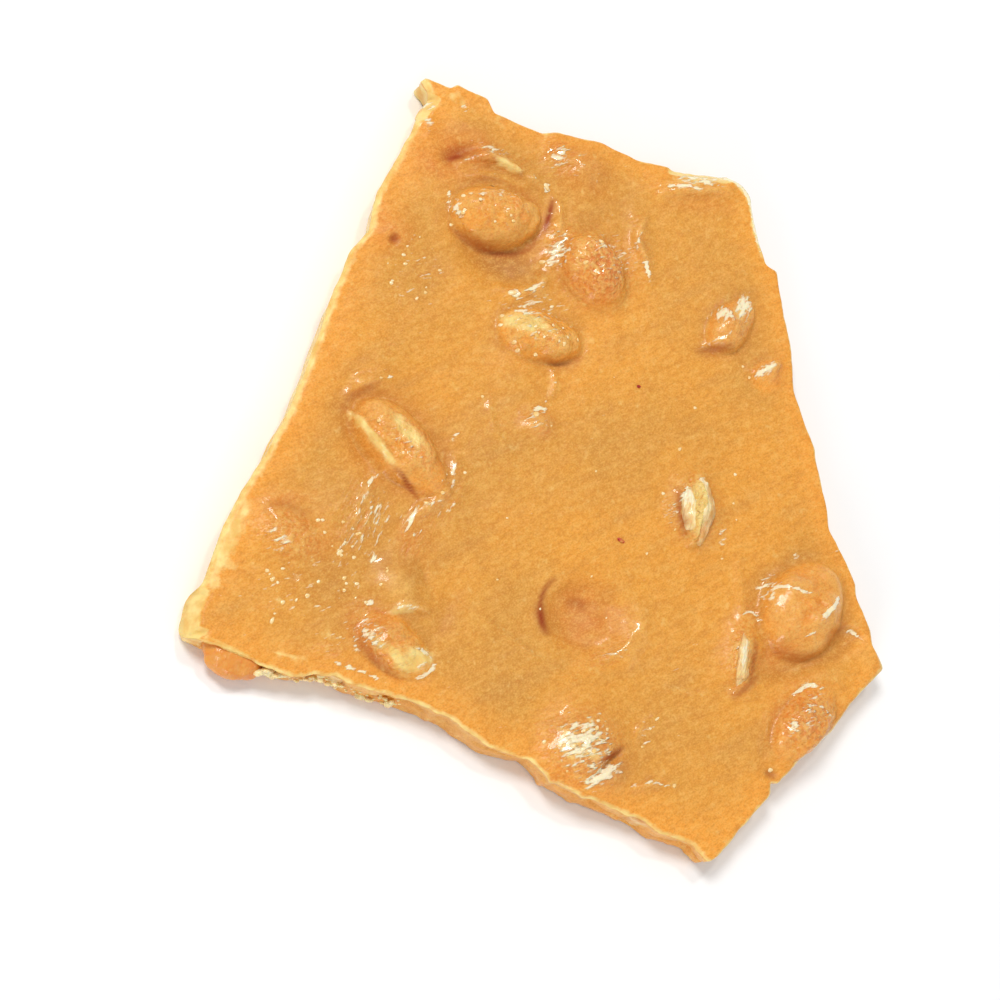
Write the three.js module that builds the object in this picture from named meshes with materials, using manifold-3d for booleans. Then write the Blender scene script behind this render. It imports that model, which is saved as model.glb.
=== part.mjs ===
// A broken piece of peanut brittle: a slab of poured, aerated toffee with peanuts set into it.
// Millimetres, +Z up. X and Y run across the slab, which lies on z = 0 as it was poured.
// Origin: the centre of the bounding box on the resting face.
// A peanut whose own surface shows is a piece of its own, in a pocket of the slab. One that the
// toffee covers all over is a swelling of the slab.
import * as THREE from "three";
import { mergeVertices } from "three/addons/utils/BufferGeometryUtils.js";
import Module from "manifold-3d";

const wasm = await Module();
wasm.setup();

// Driving dimensions.
const slabThickness = 5.5; // the poured layer, away from the peanuts
const slabCell = 3.1; // the facets of the slab's upper face
const waviness = 0.3; // how far that face rises and falls
const pocketGap = 0.3; // between a peanut and the toffee round it
const skirtRise = 0.9; // how far the toffee creeps up round a peanut
const skirtReach = 1.45; // how far out it does so, as a share of the peanut
const kernelSides = 12;
const kernelRings = 8;
const kernelTaper = 0.13; // a peanut is fatter at one end

// Where the slab broke, clockwise from the tip of its narrow end. The walls stand upright.
const outline = [
  [-20.6, 58], [-16.4, 57.3], [-15.4, 58], [-10.5, 56.5], [-9.5, 54.3], // the torn tip
  [-1.6, 52.2], [1.4, 52.8], [8.7, 52.1], [13.6, 50.3], [22.9, 49.2], [29.8, 49.5], [32.1, 48.2],
  [33.8, 46.4], [34.2, 42.3], [36.1, 35.5], [38.2, 34.8], [38.6, 31.7], [40.4, 21.8], [40.7, 15.4],
  [44, 6.8], [46.3, -4], [46.5, -6], [50.7, -14.1], [50.8, -16.3], [53.1, -21], [53.1, -23.6],
  [55, -27.1], [49.4, -32.7], [45.4, -37.5], [40.3, -41.7], [36.4, -45.7], [35, -45.6], [35, -47.4],
  [29.9, -52.7], [26.1, -57.4], [24.9, -58], // the broad end's two corners
  [22.2, -55.3], [17.2, -54], [13.2, -51.8], [8, -50.1], [4, -49.5], [1.4, -48], [-1, -47.4],
  [-1.7, -46], [-4.1, -44], [-7.7, -43.2], [-10.7, -42.3], [-16.3, -38.8], [-22.2, -36.8],
  [-29.1, -35.5], [-32.9, -34.2], [-36.8, -33.6], [-40.6, -33.9], [-45.3, -32.6], [-50.5, -30.6],
  [-54.7, -29], [-55, -28], // the left corner
  [-54.1, -24.5], [-52.4, -22.1], [-50.4, -16.4], [-49.6, -13.6], [-46.9, -8.2], [-43.6, -2.7],
  [-40.2, 4.2], [-36.1, 15.4], [-33.8, 22.5], [-31.2, 29.2], [-28.7, 32.6], [-27.4, 38.4],
  [-24.1, 44.6], [-22, 48.9], [-20.4, 52.8], [-18.6, 55.3], [-19.7, 57],
];

// The peanuts that show. size is length, width and height; yaw and roll are degrees about Z and
// about the kernel's own length. Half kernels are flat on one side. A flush one broke with the
// slab, and ends at the slab's wall.
const peanuts = [
  { at: [-9.5, 37.6, 5.2], size: [14.8, 9.6, 8.6], yaw: 4 }, // whole, in a hollow
  { at: [-2.2, 19.6, 4.7], size: [14, 8, 7.6], yaw: -8 },
  { at: [6.6, 31, 4.4], size: [11.4, 9, 7], yaw: -52 },
  { at: [29.8, 24.9, 4.4], size: [10.6, 6.6, 6.4], yaw: 50 },
  { at: [-24.4, 0.4, 4.6], size: [17.4, 9.4, 7.4], yaw: -43 },
  { at: [-24.8, -29, 4.3], size: [12.8, 7.8, 6.6], yaw: -34 },
  { at: [41, -19, 4.9], size: [16.4, 12.8, 8.6], yaw: 55 },
  { at: [23.8, -4.8, 4.7], size: [10.8, 6.6, 4], yaw: 83, roll: 84, half: true },
  { at: [30.6, -27, 4], size: [12, 6.4, 4.6], yaw: 80, roll: 70, half: true },
  { at: [41.3, -37, 4.2], size: [15, 9.6, 7.2], yaw: 54, flush: true },
  { at: [36.4, 17.6, 4.1], size: [6.8, 4.8, 5.2], yaw: 30 },
  { at: [-48.2, -31.6, 2.5], size: [9.6, 6, 4.4], yaw: -24 }, // juts out of the wall
  { at: [-31.8, -34, 2.9], size: [8.4, 4.4, 3.6], yaw: -16, flush: true },
  { at: [-26.2, 38.8, 3.2], size: [10.4, 4.6, 4], yaw: 67, flush: true },
  { at: [15.4, -51.3, 2.7], size: [9, 6, 4], yaw: -25, flush: true },
  { at: [22.4, -5.9, 4.4], size: [8.8, 5.8, 4], yaw: 97, roll: -84, half: true }, // the eighth's other half
];

// Peanuts that the toffee covers, and the hollows that it set with (a negative rise).
const swellings = [
  { at: [-40.8, -13.9], size: [10, 9], yaw: -30, rise: 1 },
  { at: [-22.3, -21.6], size: [9, 6], yaw: -50, rise: 1.4 },
  { at: [4.9, -22.3], size: [14.5, 14.5], yaw: 0, rise: 1.1 },
  { at: [4.9, -42.6], size: [13.6, 14.6], yaw: 20, rise: 3 },
  { at: [-2.3, 6.9], size: [6, 5], yaw: 10, rise: 1 },
  { at: [5, 46.6], size: [9, 7], yaw: -20, rise: 1.5 },
  { at: [-26, 34], size: [7, 6], yaw: 0, rise: 0.7 },
  { at: [-7.5, 29.6], size: [13, 8], yaw: 0, rise: -0.9 },
  { at: [38, -28.4], size: [13, 7], yaw: 10, rise: -0.8 },
];

// Distance from a swelling's or peanut's middle as a share of its half size: 1 is on its rim.
function share(x, y, at, size, yaw) {
  const turn = THREE.MathUtils.degToRad(yaw);
  const dx = x - at[0];
  const dy = y - at[1];
  const along = (dx * Math.cos(turn) + dy * Math.sin(turn)) / (size[0] / 2);
  const across = (dy * Math.cos(turn) - dx * Math.sin(turn)) / (size[1] / 2);
  return Math.hypot(along, across);
}

function surfaceHeight(x, y) {
  let z = slabThickness + waviness * Math.sin(x / 9 + 1) * Math.cos(y / 12);
  for (const { at, size, yaw, rise } of swellings)
    z += rise * Math.exp(-((share(x, y, at, size, yaw) / 0.8) ** 2));
  for (const { at, size, yaw } of peanuts)
    z += skirtRise * Math.exp(-((share(x, y, at, size, yaw) / skirtReach) ** 4));
  return z;
}

function solidOf(geometry) {
  const bare = geometry.clone().deleteAttribute("normal").deleteAttribute("uv");
  const merged = mergeVertices(bare, 1e-4);
  return new wasm.Manifold(new wasm.Mesh({
    numProp: 3,
    vertProperties: merged.attributes.position.array,
    triVerts: new Uint32Array(merged.index.array),
  }));
}

function geometryOf(solid) {
  const mesh = solid.getMesh();
  const geometry = new THREE.BufferGeometry();
  geometry.setAttribute("position", new THREE.BufferAttribute(mesh.vertProperties, 3));
  geometry.setIndex(new THREE.BufferAttribute(mesh.triVerts, 1));
  geometry.computeVertexNormals();
  return geometry;
}

// Everything inside the break lines, from the resting face to above the highest peanut.
function insideBreak() {
  const shape = new THREE.Shape(outline.map(([x, y]) => new THREE.Vector2(x, y)));
  const depth = 3 * slabThickness;
  return solidOf(new THREE.ExtrudeGeometry(shape, { depth, bevelEnabled: false }));
}

// The poured layer before it broke: a block whose upper face is the surface function. It reaches
// below the resting face, so that the break lines' own flat end becomes that face.
function pouredLayer() {
  const span = Math.max(...outline.flat().map(Math.abs)) + slabCell;
  const cells = Math.round((2 * span) / slabCell);
  const block = new THREE.BoxGeometry(2 * span, 2 * span, 2, cells, cells, 1);
  const point = block.attributes.position;
  for (let i = 0; i < point.count; i++) {
    if (point.getZ(i) > 0) point.setZ(i, surfaceHeight(point.getX(i), point.getY(i)));
  }
  return solidOf(block);
}

// A kernel lying along X, grown by a margin on every side.
function kernel({ at, size, yaw, roll = 0, half = false }, margin = 0) {
  const geometry = new THREE.SphereGeometry(1, kernelSides, kernelRings).rotateZ(-Math.PI / 2);
  const point = geometry.attributes.position;
  const [length, width, height] = size.map((side) => side / 2 + margin);
  for (let i = 0; i < point.count; i++) {
    const along = point.getX(i);
    const fat = 1 - kernelTaper * along;
    const z = point.getZ(i) * fat * height;
    point.setXYZ(i, along * length, point.getY(i) * fat * width, half ? Math.max(z, -margin) : z);
  }
  const turn = new THREE.Euler(
    THREE.MathUtils.degToRad(roll), 0, THREE.MathUtils.degToRad(yaw), "ZYX");
  return geometry.applyMatrix4(new THREE.Matrix4().makeRotationFromEuler(turn)).translate(...at);
}

function largestPiece(solid) {
  return solid.decompose().reduce((a, b) => (a.volume() > b.volume() ? a : b));
}

const toffee = new THREE.MeshStandardMaterial({ color: 0xe8a654, roughness: 0.35, metalness: 0 });
const glazedNut = new THREE.MeshStandardMaterial({ color: 0xec9f4f, roughness: 0.3, metalness: 0 });

const piece = new THREE.Group();
const inside = insideBreak();
let slab = pouredLayer().intersect(inside);
peanuts.forEach((nut, i) => {
  slab = slab.subtract(solidOf(kernel(nut, pocketGap)));
  const whole = solidOf(kernel(nut));
  const mesh = new THREE.Mesh(geometryOf(nut.flush ? whole.intersect(inside) : whole), glazedNut);
  mesh.name = `peanut_${String(i + 1).padStart(2, "0")}`;
  piece.add(mesh);
});
const slabMesh = new THREE.Mesh(geometryOf(largestPiece(slab)), toffee);
slabMesh.name = "slab";
piece.add(slabMesh);

export default piece;
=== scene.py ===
import bpy
import numpy as np
from mathutils import Matrix, Vector


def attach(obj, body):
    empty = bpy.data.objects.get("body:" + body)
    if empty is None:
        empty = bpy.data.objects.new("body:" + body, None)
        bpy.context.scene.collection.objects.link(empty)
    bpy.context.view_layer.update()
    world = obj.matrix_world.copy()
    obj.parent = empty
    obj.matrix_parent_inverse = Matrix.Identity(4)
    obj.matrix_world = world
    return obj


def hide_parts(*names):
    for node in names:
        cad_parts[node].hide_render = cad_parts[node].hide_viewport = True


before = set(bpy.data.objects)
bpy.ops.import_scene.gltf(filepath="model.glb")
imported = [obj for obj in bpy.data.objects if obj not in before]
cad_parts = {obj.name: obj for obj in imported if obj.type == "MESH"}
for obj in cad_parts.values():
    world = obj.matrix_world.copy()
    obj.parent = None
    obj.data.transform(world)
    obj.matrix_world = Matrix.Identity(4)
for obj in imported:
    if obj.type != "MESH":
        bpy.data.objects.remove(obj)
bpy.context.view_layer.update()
mm = 0.001  # shapes are worked out in millimetres and stored in metres
print("frame loaded,", len(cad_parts), "nodes")


# ---- small helpers for shapes

def smoothStep(low, high, value):  # 0 up to low, 1 from high on, and 3t^2 - 2t^3 between
    share = np.clip((value - low) / (high - low), 0, 1)
    return share * share * (3 - 2 * share)


def cornerValue(corner, seed):  # a number from -1 to 1 that belongs to a whole-numbered corner
    mixed = (corner * (73856093, 19349663, 83492791)).sum(-1) + seed * 40503 & 0xFFFFFFFF
    mixed = (mixed ^ (mixed >> 15)) * 2246822519 & 0xFFFFFFFF
    mixed = (mixed ^ (mixed >> 13)) * 3266489917 & 0xFFFFFFFF
    return (mixed ^ (mixed >> 16)) / 2.0**31 - 1


def noiseAt(points, cell, seed):  # corner values of a lattice, blended along each axis by 3t^2 - 2t^3
    place = points / cell
    corner = np.floor(place).astype(np.int64)
    share = place - corner
    share = share * share * (3 - 2 * share)
    total = np.zeros(points.shape[:-1])
    for step in np.ndindex(2, 2, 2):
        weight = np.where(np.array(step, bool), share, 1 - share).prod(-1)
        total += weight * cornerValue(corner + step, seed)
    return total


def layeredNoise(points, cell, seed, layers=3):  # each layer is half as wide and half as strong
    return sum(noiseAt(points, np.array(cell) / 2**k, seed + k) / 2**k for k in range(layers))


def onGround(x, y):
    return np.stack([x, y, np.zeros_like(x)], -1)


def spun(x, y, yaw):  # a place turned round the origin by that many degrees
    c, s = np.cos(np.radians(yaw)), np.sin(np.radians(yaw))
    return x * c - y * s, y * c + x * s


def ovalShare(x, y, at, size, yaw):  # 0 in the middle of an oval and 1 on its edge
    along, across = spun(x - at[0], y - at[1], -yaw)
    return np.hypot(along * 2 / size[0], across * 2 / size[1])


def smoothPath(points, rounds=3):  # corner cutting: each straight piece keeps its middle half
    path = np.array(points, float)
    for _ in range(rounds):
        cut = np.stack([path[:-1] * 0.75 + path[1:] * 0.25, path[:-1] * 0.25 + path[1:] * 0.75], 1)
        path = np.vstack([path[:1], cut.reshape(-1, 2), path[-1:]])
    return path


def pathShare(x, y, points, widths):
    # e^-(d/w)^2 for the distance d to a path, with one width on its left and one on its right,
    # fading out towards both of its ends
    path = smoothPath(points)
    reach = 3 * max(widths)
    near = ((x > path[:, 0].min() - reach) & (x < path[:, 0].max() + reach)
            & (y > path[:, 1].min() - reach) & (y < path[:, 1].max() + reach))
    value = np.zeros_like(x)
    if not near.any():
        return value
    step = np.diff(path, axis=0)
    length = np.hypot(*step.T)
    offset = np.stack([x[near], y[near]], -1)[:, None] - path[:-1]
    along = np.clip((offset * step).sum(-1) / length**2, 0, 1)
    gap = offset - along[..., None] * step
    distance = np.hypot(gap[..., 0], gap[..., 1])
    pick = (np.arange(len(distance)), distance.argmin(1))
    side = (step[:, 0] * gap[..., 1] - step[:, 1] * gap[..., 0])[pick]
    run = (np.cumsum(length) - length + along * length)[pick] / length.sum()
    width = np.where(side > 0, widths[0], widths[1])
    value[near] = np.exp(-(distance[pick] / width)**2) * np.sin(np.pi * np.clip(run, 0, 1))**0.6
    return value


def smoothMax(first, second, blend):  # the higher one, rounded off where the two are within blend
    share = np.clip(0.5 + (second - first) / (2 * blend), 0, 1)
    return first + (second - first) * share + blend * share * (1 - share)


def blurred(grid, reach):  # the mean of 2 * reach + 1 grid lines each way, taken twice
    for axis in (0, 1, 0, 1):
        lines = np.moveaxis(np.pad(grid, reach, mode="edge"), axis, 0)
        run = np.cumsum(np.concatenate([np.zeros_like(lines[:1]), lines]), 0)
        mean = (run[2 * reach + 1:] - run[:-2 * reach - 1]) / (2 * reach + 1)
        grid = np.moveaxis(mean[:, reach:-reach], 0, axis)
    return grid


def gridFaces(rows, columns, first=0, closed=False):
    # four-cornered faces of a grid whose corners are numbered row by row
    across = columns if closed else columns - 1
    row, column = np.meshgrid(np.arange(rows - 1), np.arange(across), indexing="ij")
    beside = (column + 1) % columns
    corners = (row * columns + column, row * columns + beside,
               (row + 1) * columns + beside, (row + 1) * columns + column)
    return np.stack(corners, -1).reshape(-1, 4) + first


def ballGrid(rings, spokes):
    # a ball of radius 1: the angle down from its end and round its length for each point, the points
    # themselves, and its faces
    down = np.repeat(np.linspace(0, np.pi, rings)[1:-1], spokes)
    turn = np.tile(np.linspace(0, 2 * np.pi, spokes, endpoint=False), rings - 2)
    down, turn = np.concatenate([[0], down, [np.pi]]), np.concatenate([[0], turn, [0]])
    last = len(down) - 1
    spoke = np.arange(spokes)
    beside = (spoke + 1) % spokes
    faces = [tuple(face[::-1]) for face in gridFaces(rings - 2, spokes, 1, closed=True)]
    faces += [(0, 1 + i, 1 + j) for i, j in zip(spoke, beside)]
    faces += [(last, last - spokes + j, last - spokes + i) for i, j in zip(spoke, beside)]
    ball = np.stack([np.cos(down), np.sin(down) * np.cos(turn), np.sin(down) * np.sin(turn)], -1)
    return down, turn, ball, faces


def addPiece(name, points, faces, material, replaced=(), values=None):
    # points are in millimetres; values holds one number for each point under each name
    mesh = bpy.data.meshes.new(name)
    mesh.from_pydata(np.asarray(points) * mm, [], [list(map(int, face)) for face in faces])
    for key, numbers in (values or {}).items():
        layer = mesh.attributes.new(key, "FLOAT", "POINT")
        layer.data.foreach_set("value", np.asarray(numbers, np.float32))
    mesh.polygons.foreach_set("use_smooth", np.ones(len(mesh.polygons), bool))
    mesh.materials.append(material)
    piece = bpy.data.objects.new(name, mesh)
    bpy.context.scene.collection.objects.link(piece)
    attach(piece, "root")
    if replaced:
        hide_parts(*replaced)
    print(f"{name}: {len(points)} points, {sum(len(face) - 2 for face in faces)} triangles")
    return piece


# ---- materials

class Wire:  # one output of a node, so that shader maths reads as arithmetic
    def __init__(self, board, socket):
        self.board, self.socket = board, socket

    def __add__(self, other):
        return self.board.math("ADD", self, other)

    def __sub__(self, other):
        return self.board.math("SUBTRACT", self, other)

    def __rsub__(self, other):
        return self.board.math("SUBTRACT", other, self)

    def __mul__(self, other):
        return self.board.math("MULTIPLY", self, other)

    __radd__, __rmul__ = __add__, __mul__


class Board:  # a material's nodes, each made by node()
    def __init__(self, name):
        self.material = bpy.data.materials.new(name)
        self.material.use_nodes = True
        self.tree = self.material.node_tree
        self.tree.nodes.clear()
        self.place = self.node("ShaderNodeTexCoord", output="Object")

    def node(self, kind, settings=None, inputs=None, output=0):
        made = self.tree.nodes.new(kind)
        for key, value in (settings or {}).items():
            if key == "stops":
                ramp = made.color_ramp.elements
                while len(ramp) < len(value):
                    ramp.new(0.5)
                for stop, (position, shade) in zip(ramp, value):
                    stop.position, stop.color = position, (shade, shade, shade, 1)
            else:
                setattr(made, key, value)
        for key, value in (inputs or {}).items():
            if isinstance(value, Wire):
                self.tree.links.new(value.socket, made.inputs[key])
            else:
                made.inputs[key].default_value = value
        return Wire(self, made.outputs[output]) if made.outputs else made

    def math(self, operation, first, second):
        return self.node("ShaderNodeMath", {"operation": operation}, {0: first, 1: second})

    def mix(self, share, first, second, how="MIX"):
        settings = {"data_type": "RGBA", "blend_type": how}
        return self.node("ShaderNodeMix", settings, {0: share, 6: first, 7: second}, output=2)

    def noise(self, scale, detail=2.0, place=None, **more):
        inputs = {"Vector": place or self.place, "Scale": scale, "Detail": detail, **more}
        return self.node("ShaderNodeTexNoise", inputs=inputs)

    def ramp(self, value, *stops):  # stops are pairs of a place and a grey value
        return self.node("ShaderNodeValToRGB", {"stops": stops}, {"Fac": value})

    def drawn(self, turn, stretch):  # places turned by degrees, then drawn out along that direction
        spin = (0, 0, np.radians(-turn))
        turned = self.node("ShaderNodeMapping", inputs={"Vector": self.place, "Rotation": spin})
        return self.node("ShaderNodeMapping", inputs={"Vector": turned, "Scale": stretch})

    def value(self, name):  # one of the piece's own numbers
        return self.node("ShaderNodeAttribute", {"attribute_name": name}, output="Fac")

    def bump(self, height, distance, under=None):  # distance in millimetres
        inputs = {"Height": height, "Distance": distance * mm, "Strength": 1.0}
        if under:
            inputs["Normal"] = under
        return self.node("ShaderNodeBump", inputs=inputs)

    def finish(self, **inputs):
        named = {key.replace("_", " "): value for key, value in inputs.items()}
        surface = self.node("ShaderNodeBsdfPrincipled", inputs=named)
        self.node("ShaderNodeOutputMaterial", inputs={"Surface": surface})
        return self.material


def paint(red, green, blue):  # a screen colour of 0 to 255 as the shader's own numbers
    screen = np.array([red, green, blue]) / 255
    return (*np.where(screen > 0.04045, ((screen + 0.055) / 1.055)**2.4, screen / 12.92), 1)


toffeeLook = {
    # Among these colours, the red-brown one is painted shade for crevices and shade is painted shade for
    # hollows; light also gives the painted light on crests and pebble tops, and glint is a painted
    # highlight.
    "tan": paint(216, 152, 65), "orange": paint(234, 160, 61), "dull": paint(200, 142, 74),
    "light": paint(242, 190, 104), "warm": paint(221, 122, 46), "stain": paint(152, 54, 16),
    "shade": paint(183, 121, 54), "amber": paint(252, 165, 58), "grain": paint(196, 124, 48),
    "crumb": paint(250, 220, 140), "crumbShade": paint(238, 190, 102), "glint": paint(255, 242, 204),
    "rough": 0.42, "glossRough": 0.14,
    "flow": (28, (70, 320, 200), 0.4),  # direction of the pull in degrees, its streaks' scale and strength
    "mottles": [((420, 900, 700), 0.3), ((1200, 2000, 1800), 0.32), ((3300, 4200, 4000), 0.48)],
    "wrinkleTurns": (20, 62), "wrinkleScale": (620, 1900, 1200), "pebbleScale": 1500,
    "broken": (700, 1.3),  # scale and strength of the noise that breaks up the edge of pale places
    # shares of the painted light on crests, painted shade in hollows, painted shade and light on the
    # pebbles, painted shade between the wrinkles, and the painted highlight on their crests
    "most": {"crest": 0.6, "hollow": 0.95, "pebble": (0.6, 0.8), "wrinkle": 0.55, "glintMask": 0.9},  # share
    "bumps": {"skin": 0.12, "grain": 0.04, "pebble": 0.55, "wrinkle": 0.45, "glintMask": 0.08},  # millimetres
}


def toffeeFinish():
    look = toffeeLook
    board = Board("toffee")
    colour = board.mix(board.ramp(board.noise(45, 3), (0.38, 0), (0.62, 1)), look["tan"], look["orange"])
    pull, stretch, strength = look["flow"]
    flow = board.noise(1.0, 3, place=board.drawn(pull, stretch))
    colour = board.mix(board.ramp(flow, (0.5, 0), (0.75, strength)), colour, look["dull"])
    colour = board.mix(board.value("amber"), colour, look["amber"])
    most = look["most"]
    # painted light on the crests, on the upper part of the wall and over the nuts
    colour = board.mix(board.value("crest") * most["crest"], colour, look["light"])
    # painted shade in the hollows and under the nuts
    colour = board.mix(board.value("hollow") * most["hollow"], colour, look["shade"])
    colour = board.mix(board.value("warm") * board.ramp(board.noise(300, 4), (0.3, 0.35), (0.62, 1)),
                       colour, look["warm"])
    for scale, strength in look["mottles"]:
        mottle = board.noise(1.0, 2, place=board.drawn(pull, scale))
        colour = board.mix(board.ramp(mottle, (0.5, 0), (0.74, strength)), colour, look["light"])
        colour = board.mix(board.ramp(mottle, (0.26, strength), (0.5, 0)), colour, look["grain"])
    wrinkle, glint, pebble = board.value("wrinkle"), board.value("glint"), board.value("pebble")
    pebbles = board.noise(look["pebbleScale"], 1)
    # painted shade in the pebbles' low parts and painted light on their tops, following their bumps
    dark, light = most["pebble"]
    colour = board.mix(board.ramp(pebbles, (0.34, dark), (0.46, 0)) * pebble, colour, look["warm"])
    colour = board.mix(board.ramp(pebbles, (0.46, 0), (0.66, light)) * pebble, colour, look["light"])
    runs = [board.drawn(turn, look["wrinkleScale"]) for turn in look["wrinkleTurns"]]
    streaks = board.mix(board.value("steep"), *(board.noise(1.0, 2, place=run) for run in runs))
    # painted shade in the troughs between the wrinkles' crests
    between = board.ramp(streaks, (0.32, most["wrinkle"]), (0.5, 0))
    colour = board.mix(between * wrinkle, colour, look["warm"])
    # painted shade: the red-brown darkening in crevices and pits
    colour = board.mix(board.value("stain"), colour, look["stain"])
    crumbs = board.ramp(board.noise(500, 4), (0.35, 0), (0.6, 1))
    crumb = board.mix(crumbs, look["crumbShade"], look["crumb"])
    scale, spread = look["broken"]
    pale = board.value("pale") + board.noise(scale, 4) * spread - spread / 2
    colour = board.mix(board.ramp(pale, (0.16, 0), (0.66, 1)), colour, crumb)
    # a painted highlight on the crests of the wrinkles: more of it where glint is stronger, and a line
    # where it is 2
    glintMask = board.ramp(streaks + glint * 0.3, (0.76, 0), (0.88, 1))
    colour = board.mix(glintMask * most["glintMask"], colour, look["glint"])
    bumps = look["bumps"]
    skin = board.bump(board.noise(420, 3), bumps["skin"])
    skin = board.bump(board.noise(1500, 2), bumps["grain"], skin)
    skin = board.bump(pebbles * pebble, bumps["pebble"], skin)
    skin = board.bump(streaks * wrinkle, bumps["wrinkle"], skin)
    skin = board.bump(glintMask, bumps["glintMask"], skin)
    gloss = board.value("gloss")
    rough = look["rough"] - gloss * (look["rough"] - look["glossRough"]) + board.value("stain") * 0.3
    return board.finish(Base_Color=colour, Roughness=rough, Normal=skin, IOR=1.46,
                        Subsurface_Weight=0.2, Subsurface_Radius=(1.0, 0.5, 0.2),
                        Subsurface_Scale=0.001, Coat_Weight=gloss * 0.55, Coat_Roughness=0.07,
                        Specular_IOR_Level=0.28)


nutPaint = {
    "rough": 0.3, "mottle": (25, (700, 1100, 900)), "wrinkle": (75, (700, 2400, 1400)),  # turn and scale
    "broken": (620, 1.4),  # scale and strength of the noise that breaks up the edge of pale places
    "grainBump": 0.14, "wrinkleBump": 0.4,
}


def nutFinish(name, skin, deep, pale):
    look = nutPaint
    board = Board(name)
    colour = board.mix(board.ramp(board.noise(260, 3), (0.35, 0), (0.65, 1)), skin, deep)
    mottle = board.noise(1.0, 3, place=board.drawn(*look["mottle"]))
    colour = board.mix(board.ramp(mottle, (0.52, 0), (0.75, 0.7)), colour, toffeeLook["light"])
    colour = board.mix(board.ramp(mottle, (0.25, 0.6), (0.48, 0)), colour, toffeeLook["warm"])
    colour = board.mix(board.value("warm"), colour, toffeeLook["warm"])
    # painted shade: the red-brown darkening in crevices and pits
    colour = board.mix(board.value("stain"), colour, toffeeLook["stain"])
    scale, spread = look["broken"]
    crumbs = board.value("pale") + board.noise(scale, 5) * spread - spread / 2
    colour = board.mix(board.ramp(crumbs, (0.2, 0), (0.8, 0.9)), colour, pale)
    streaks = board.noise(1.0, 2, place=board.drawn(*look["wrinkle"]))
    # painted highlight on the crests of the wrinkles
    glintMask = board.ramp(streaks + board.value("glint") * 0.3, (0.76, 0), (0.88, 1))
    colour = board.mix(glintMask * toffeeLook["most"]["glintMask"], colour, toffeeLook["glint"])
    relief = board.bump(board.noise(600, 3), look["grainBump"])
    relief = board.bump(streaks * board.value("wrinkle"), look["wrinkleBump"], relief)
    return board.finish(Base_Color=colour, Roughness=look["rough"], Normal=relief, IOR=1.46,
                        Subsurface_Weight=0.2, Subsurface_Radius=(1.0, 0.45, 0.15),
                        Subsurface_Scale=0.001, Coat_Weight=0.3, Coat_Roughness=0.08,
                        Specular_IOR_Level=0.4)


def bubbleFinish():
    board = Board("bubble")
    # the bubbles' pale cream is partly their own colour and partly a painted highlight
    patch = board.ramp(board.noise(900, 2), (0.4, 0), (0.6, 1))
    colour = board.mix(patch, paint(248, 206, 128), paint(255, 234, 184))
    return board.finish(Base_Color=colour, Roughness=0.14, IOR=1.46, Coat_Weight=0.6, Coat_Roughness=0.08)


toffee = toffeeFinish()
glazedNut = nutFinish("glazedNut", paint(236, 166, 74), paint(226, 144, 58), paint(250, 212, 124))
bareNut = nutFinish("bareNut", paint(240, 190, 108), paint(222, 152, 72), paint(254, 232, 174))
bubble = bubbleFinish()
redSkin = nutFinish("redSkin", paint(196, 40, 26), paint(160, 28, 20), paint(206, 84, 50))
print("materials made")


# ---- the peanuts' places, read from the frame

def nodeMesh(name):  # a node's corners in millimetres, and its triangles as numbers of them
    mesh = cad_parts[name].data
    corners = np.zeros(len(mesh.vertices) * 3)
    mesh.vertices.foreach_get("co", corners)
    mesh.calc_loop_triangles()
    picks = np.zeros(len(mesh.loop_triangles) * 3, int)
    mesh.loop_triangles.foreach_get("vertices", picks)
    return corners.reshape(-1, 3) / mm, picks.reshape(-1, 3)


def nutShape(name):
    # a nut's middle, its three axes, its half sizes, how much it tapers and the planes of its faces
    corners, picks = nodeMesh(name)
    a, b, c = corners[picks].swapaxes(0, 1)
    facing = np.cross(b - a, c - a)
    size = np.linalg.norm(facing, axis=1)
    facing, a = facing[size > 1e-6] / size[size > 1e-6, None], a[size > 1e-6]
    axes = np.linalg.eigh(np.cov(corners.T))[1].T[::-1].copy()
    axes[0] *= np.sign(axes[0][0])
    axes[2] = np.cross(axes[0], axes[1])
    if axes[2][2] < 0:
        axes[1:] *= -1
    spread = corners @ axes.T
    low, high = spread.min(0), spread.max(0)
    middle = (low + high) / 2 @ axes
    along, aside, above = ((corners - middle) @ axes.T / ((high - low) / 2)).T
    round_ = np.abs(along) < 0.8
    swell = np.hypot(aside, above)[round_] / np.sqrt(1 - along[round_]**2) - 1
    taper = -(along[round_] * swell).sum() / (along[round_]**2).sum()  # swell is -taper * along
    return {"middle": middle, "axes": axes, "half": (high - low) / 2, "facing": facing, "taper": taper,
            "out": ((a - middle) * facing).sum(1),
            "yaw": np.degrees(np.arctan2(axes[0][1], axes[0][0]))}


nuts = {name: nutShape(name) for name in sorted(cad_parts) if name.startswith("peanut")}


def nutDepth(nut, points):  # how deep points lie under a nut's surface, negative outside it
    return (nut["out"] - (points - nut["middle"]) @ nut["facing"].T).min(-1)
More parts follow.
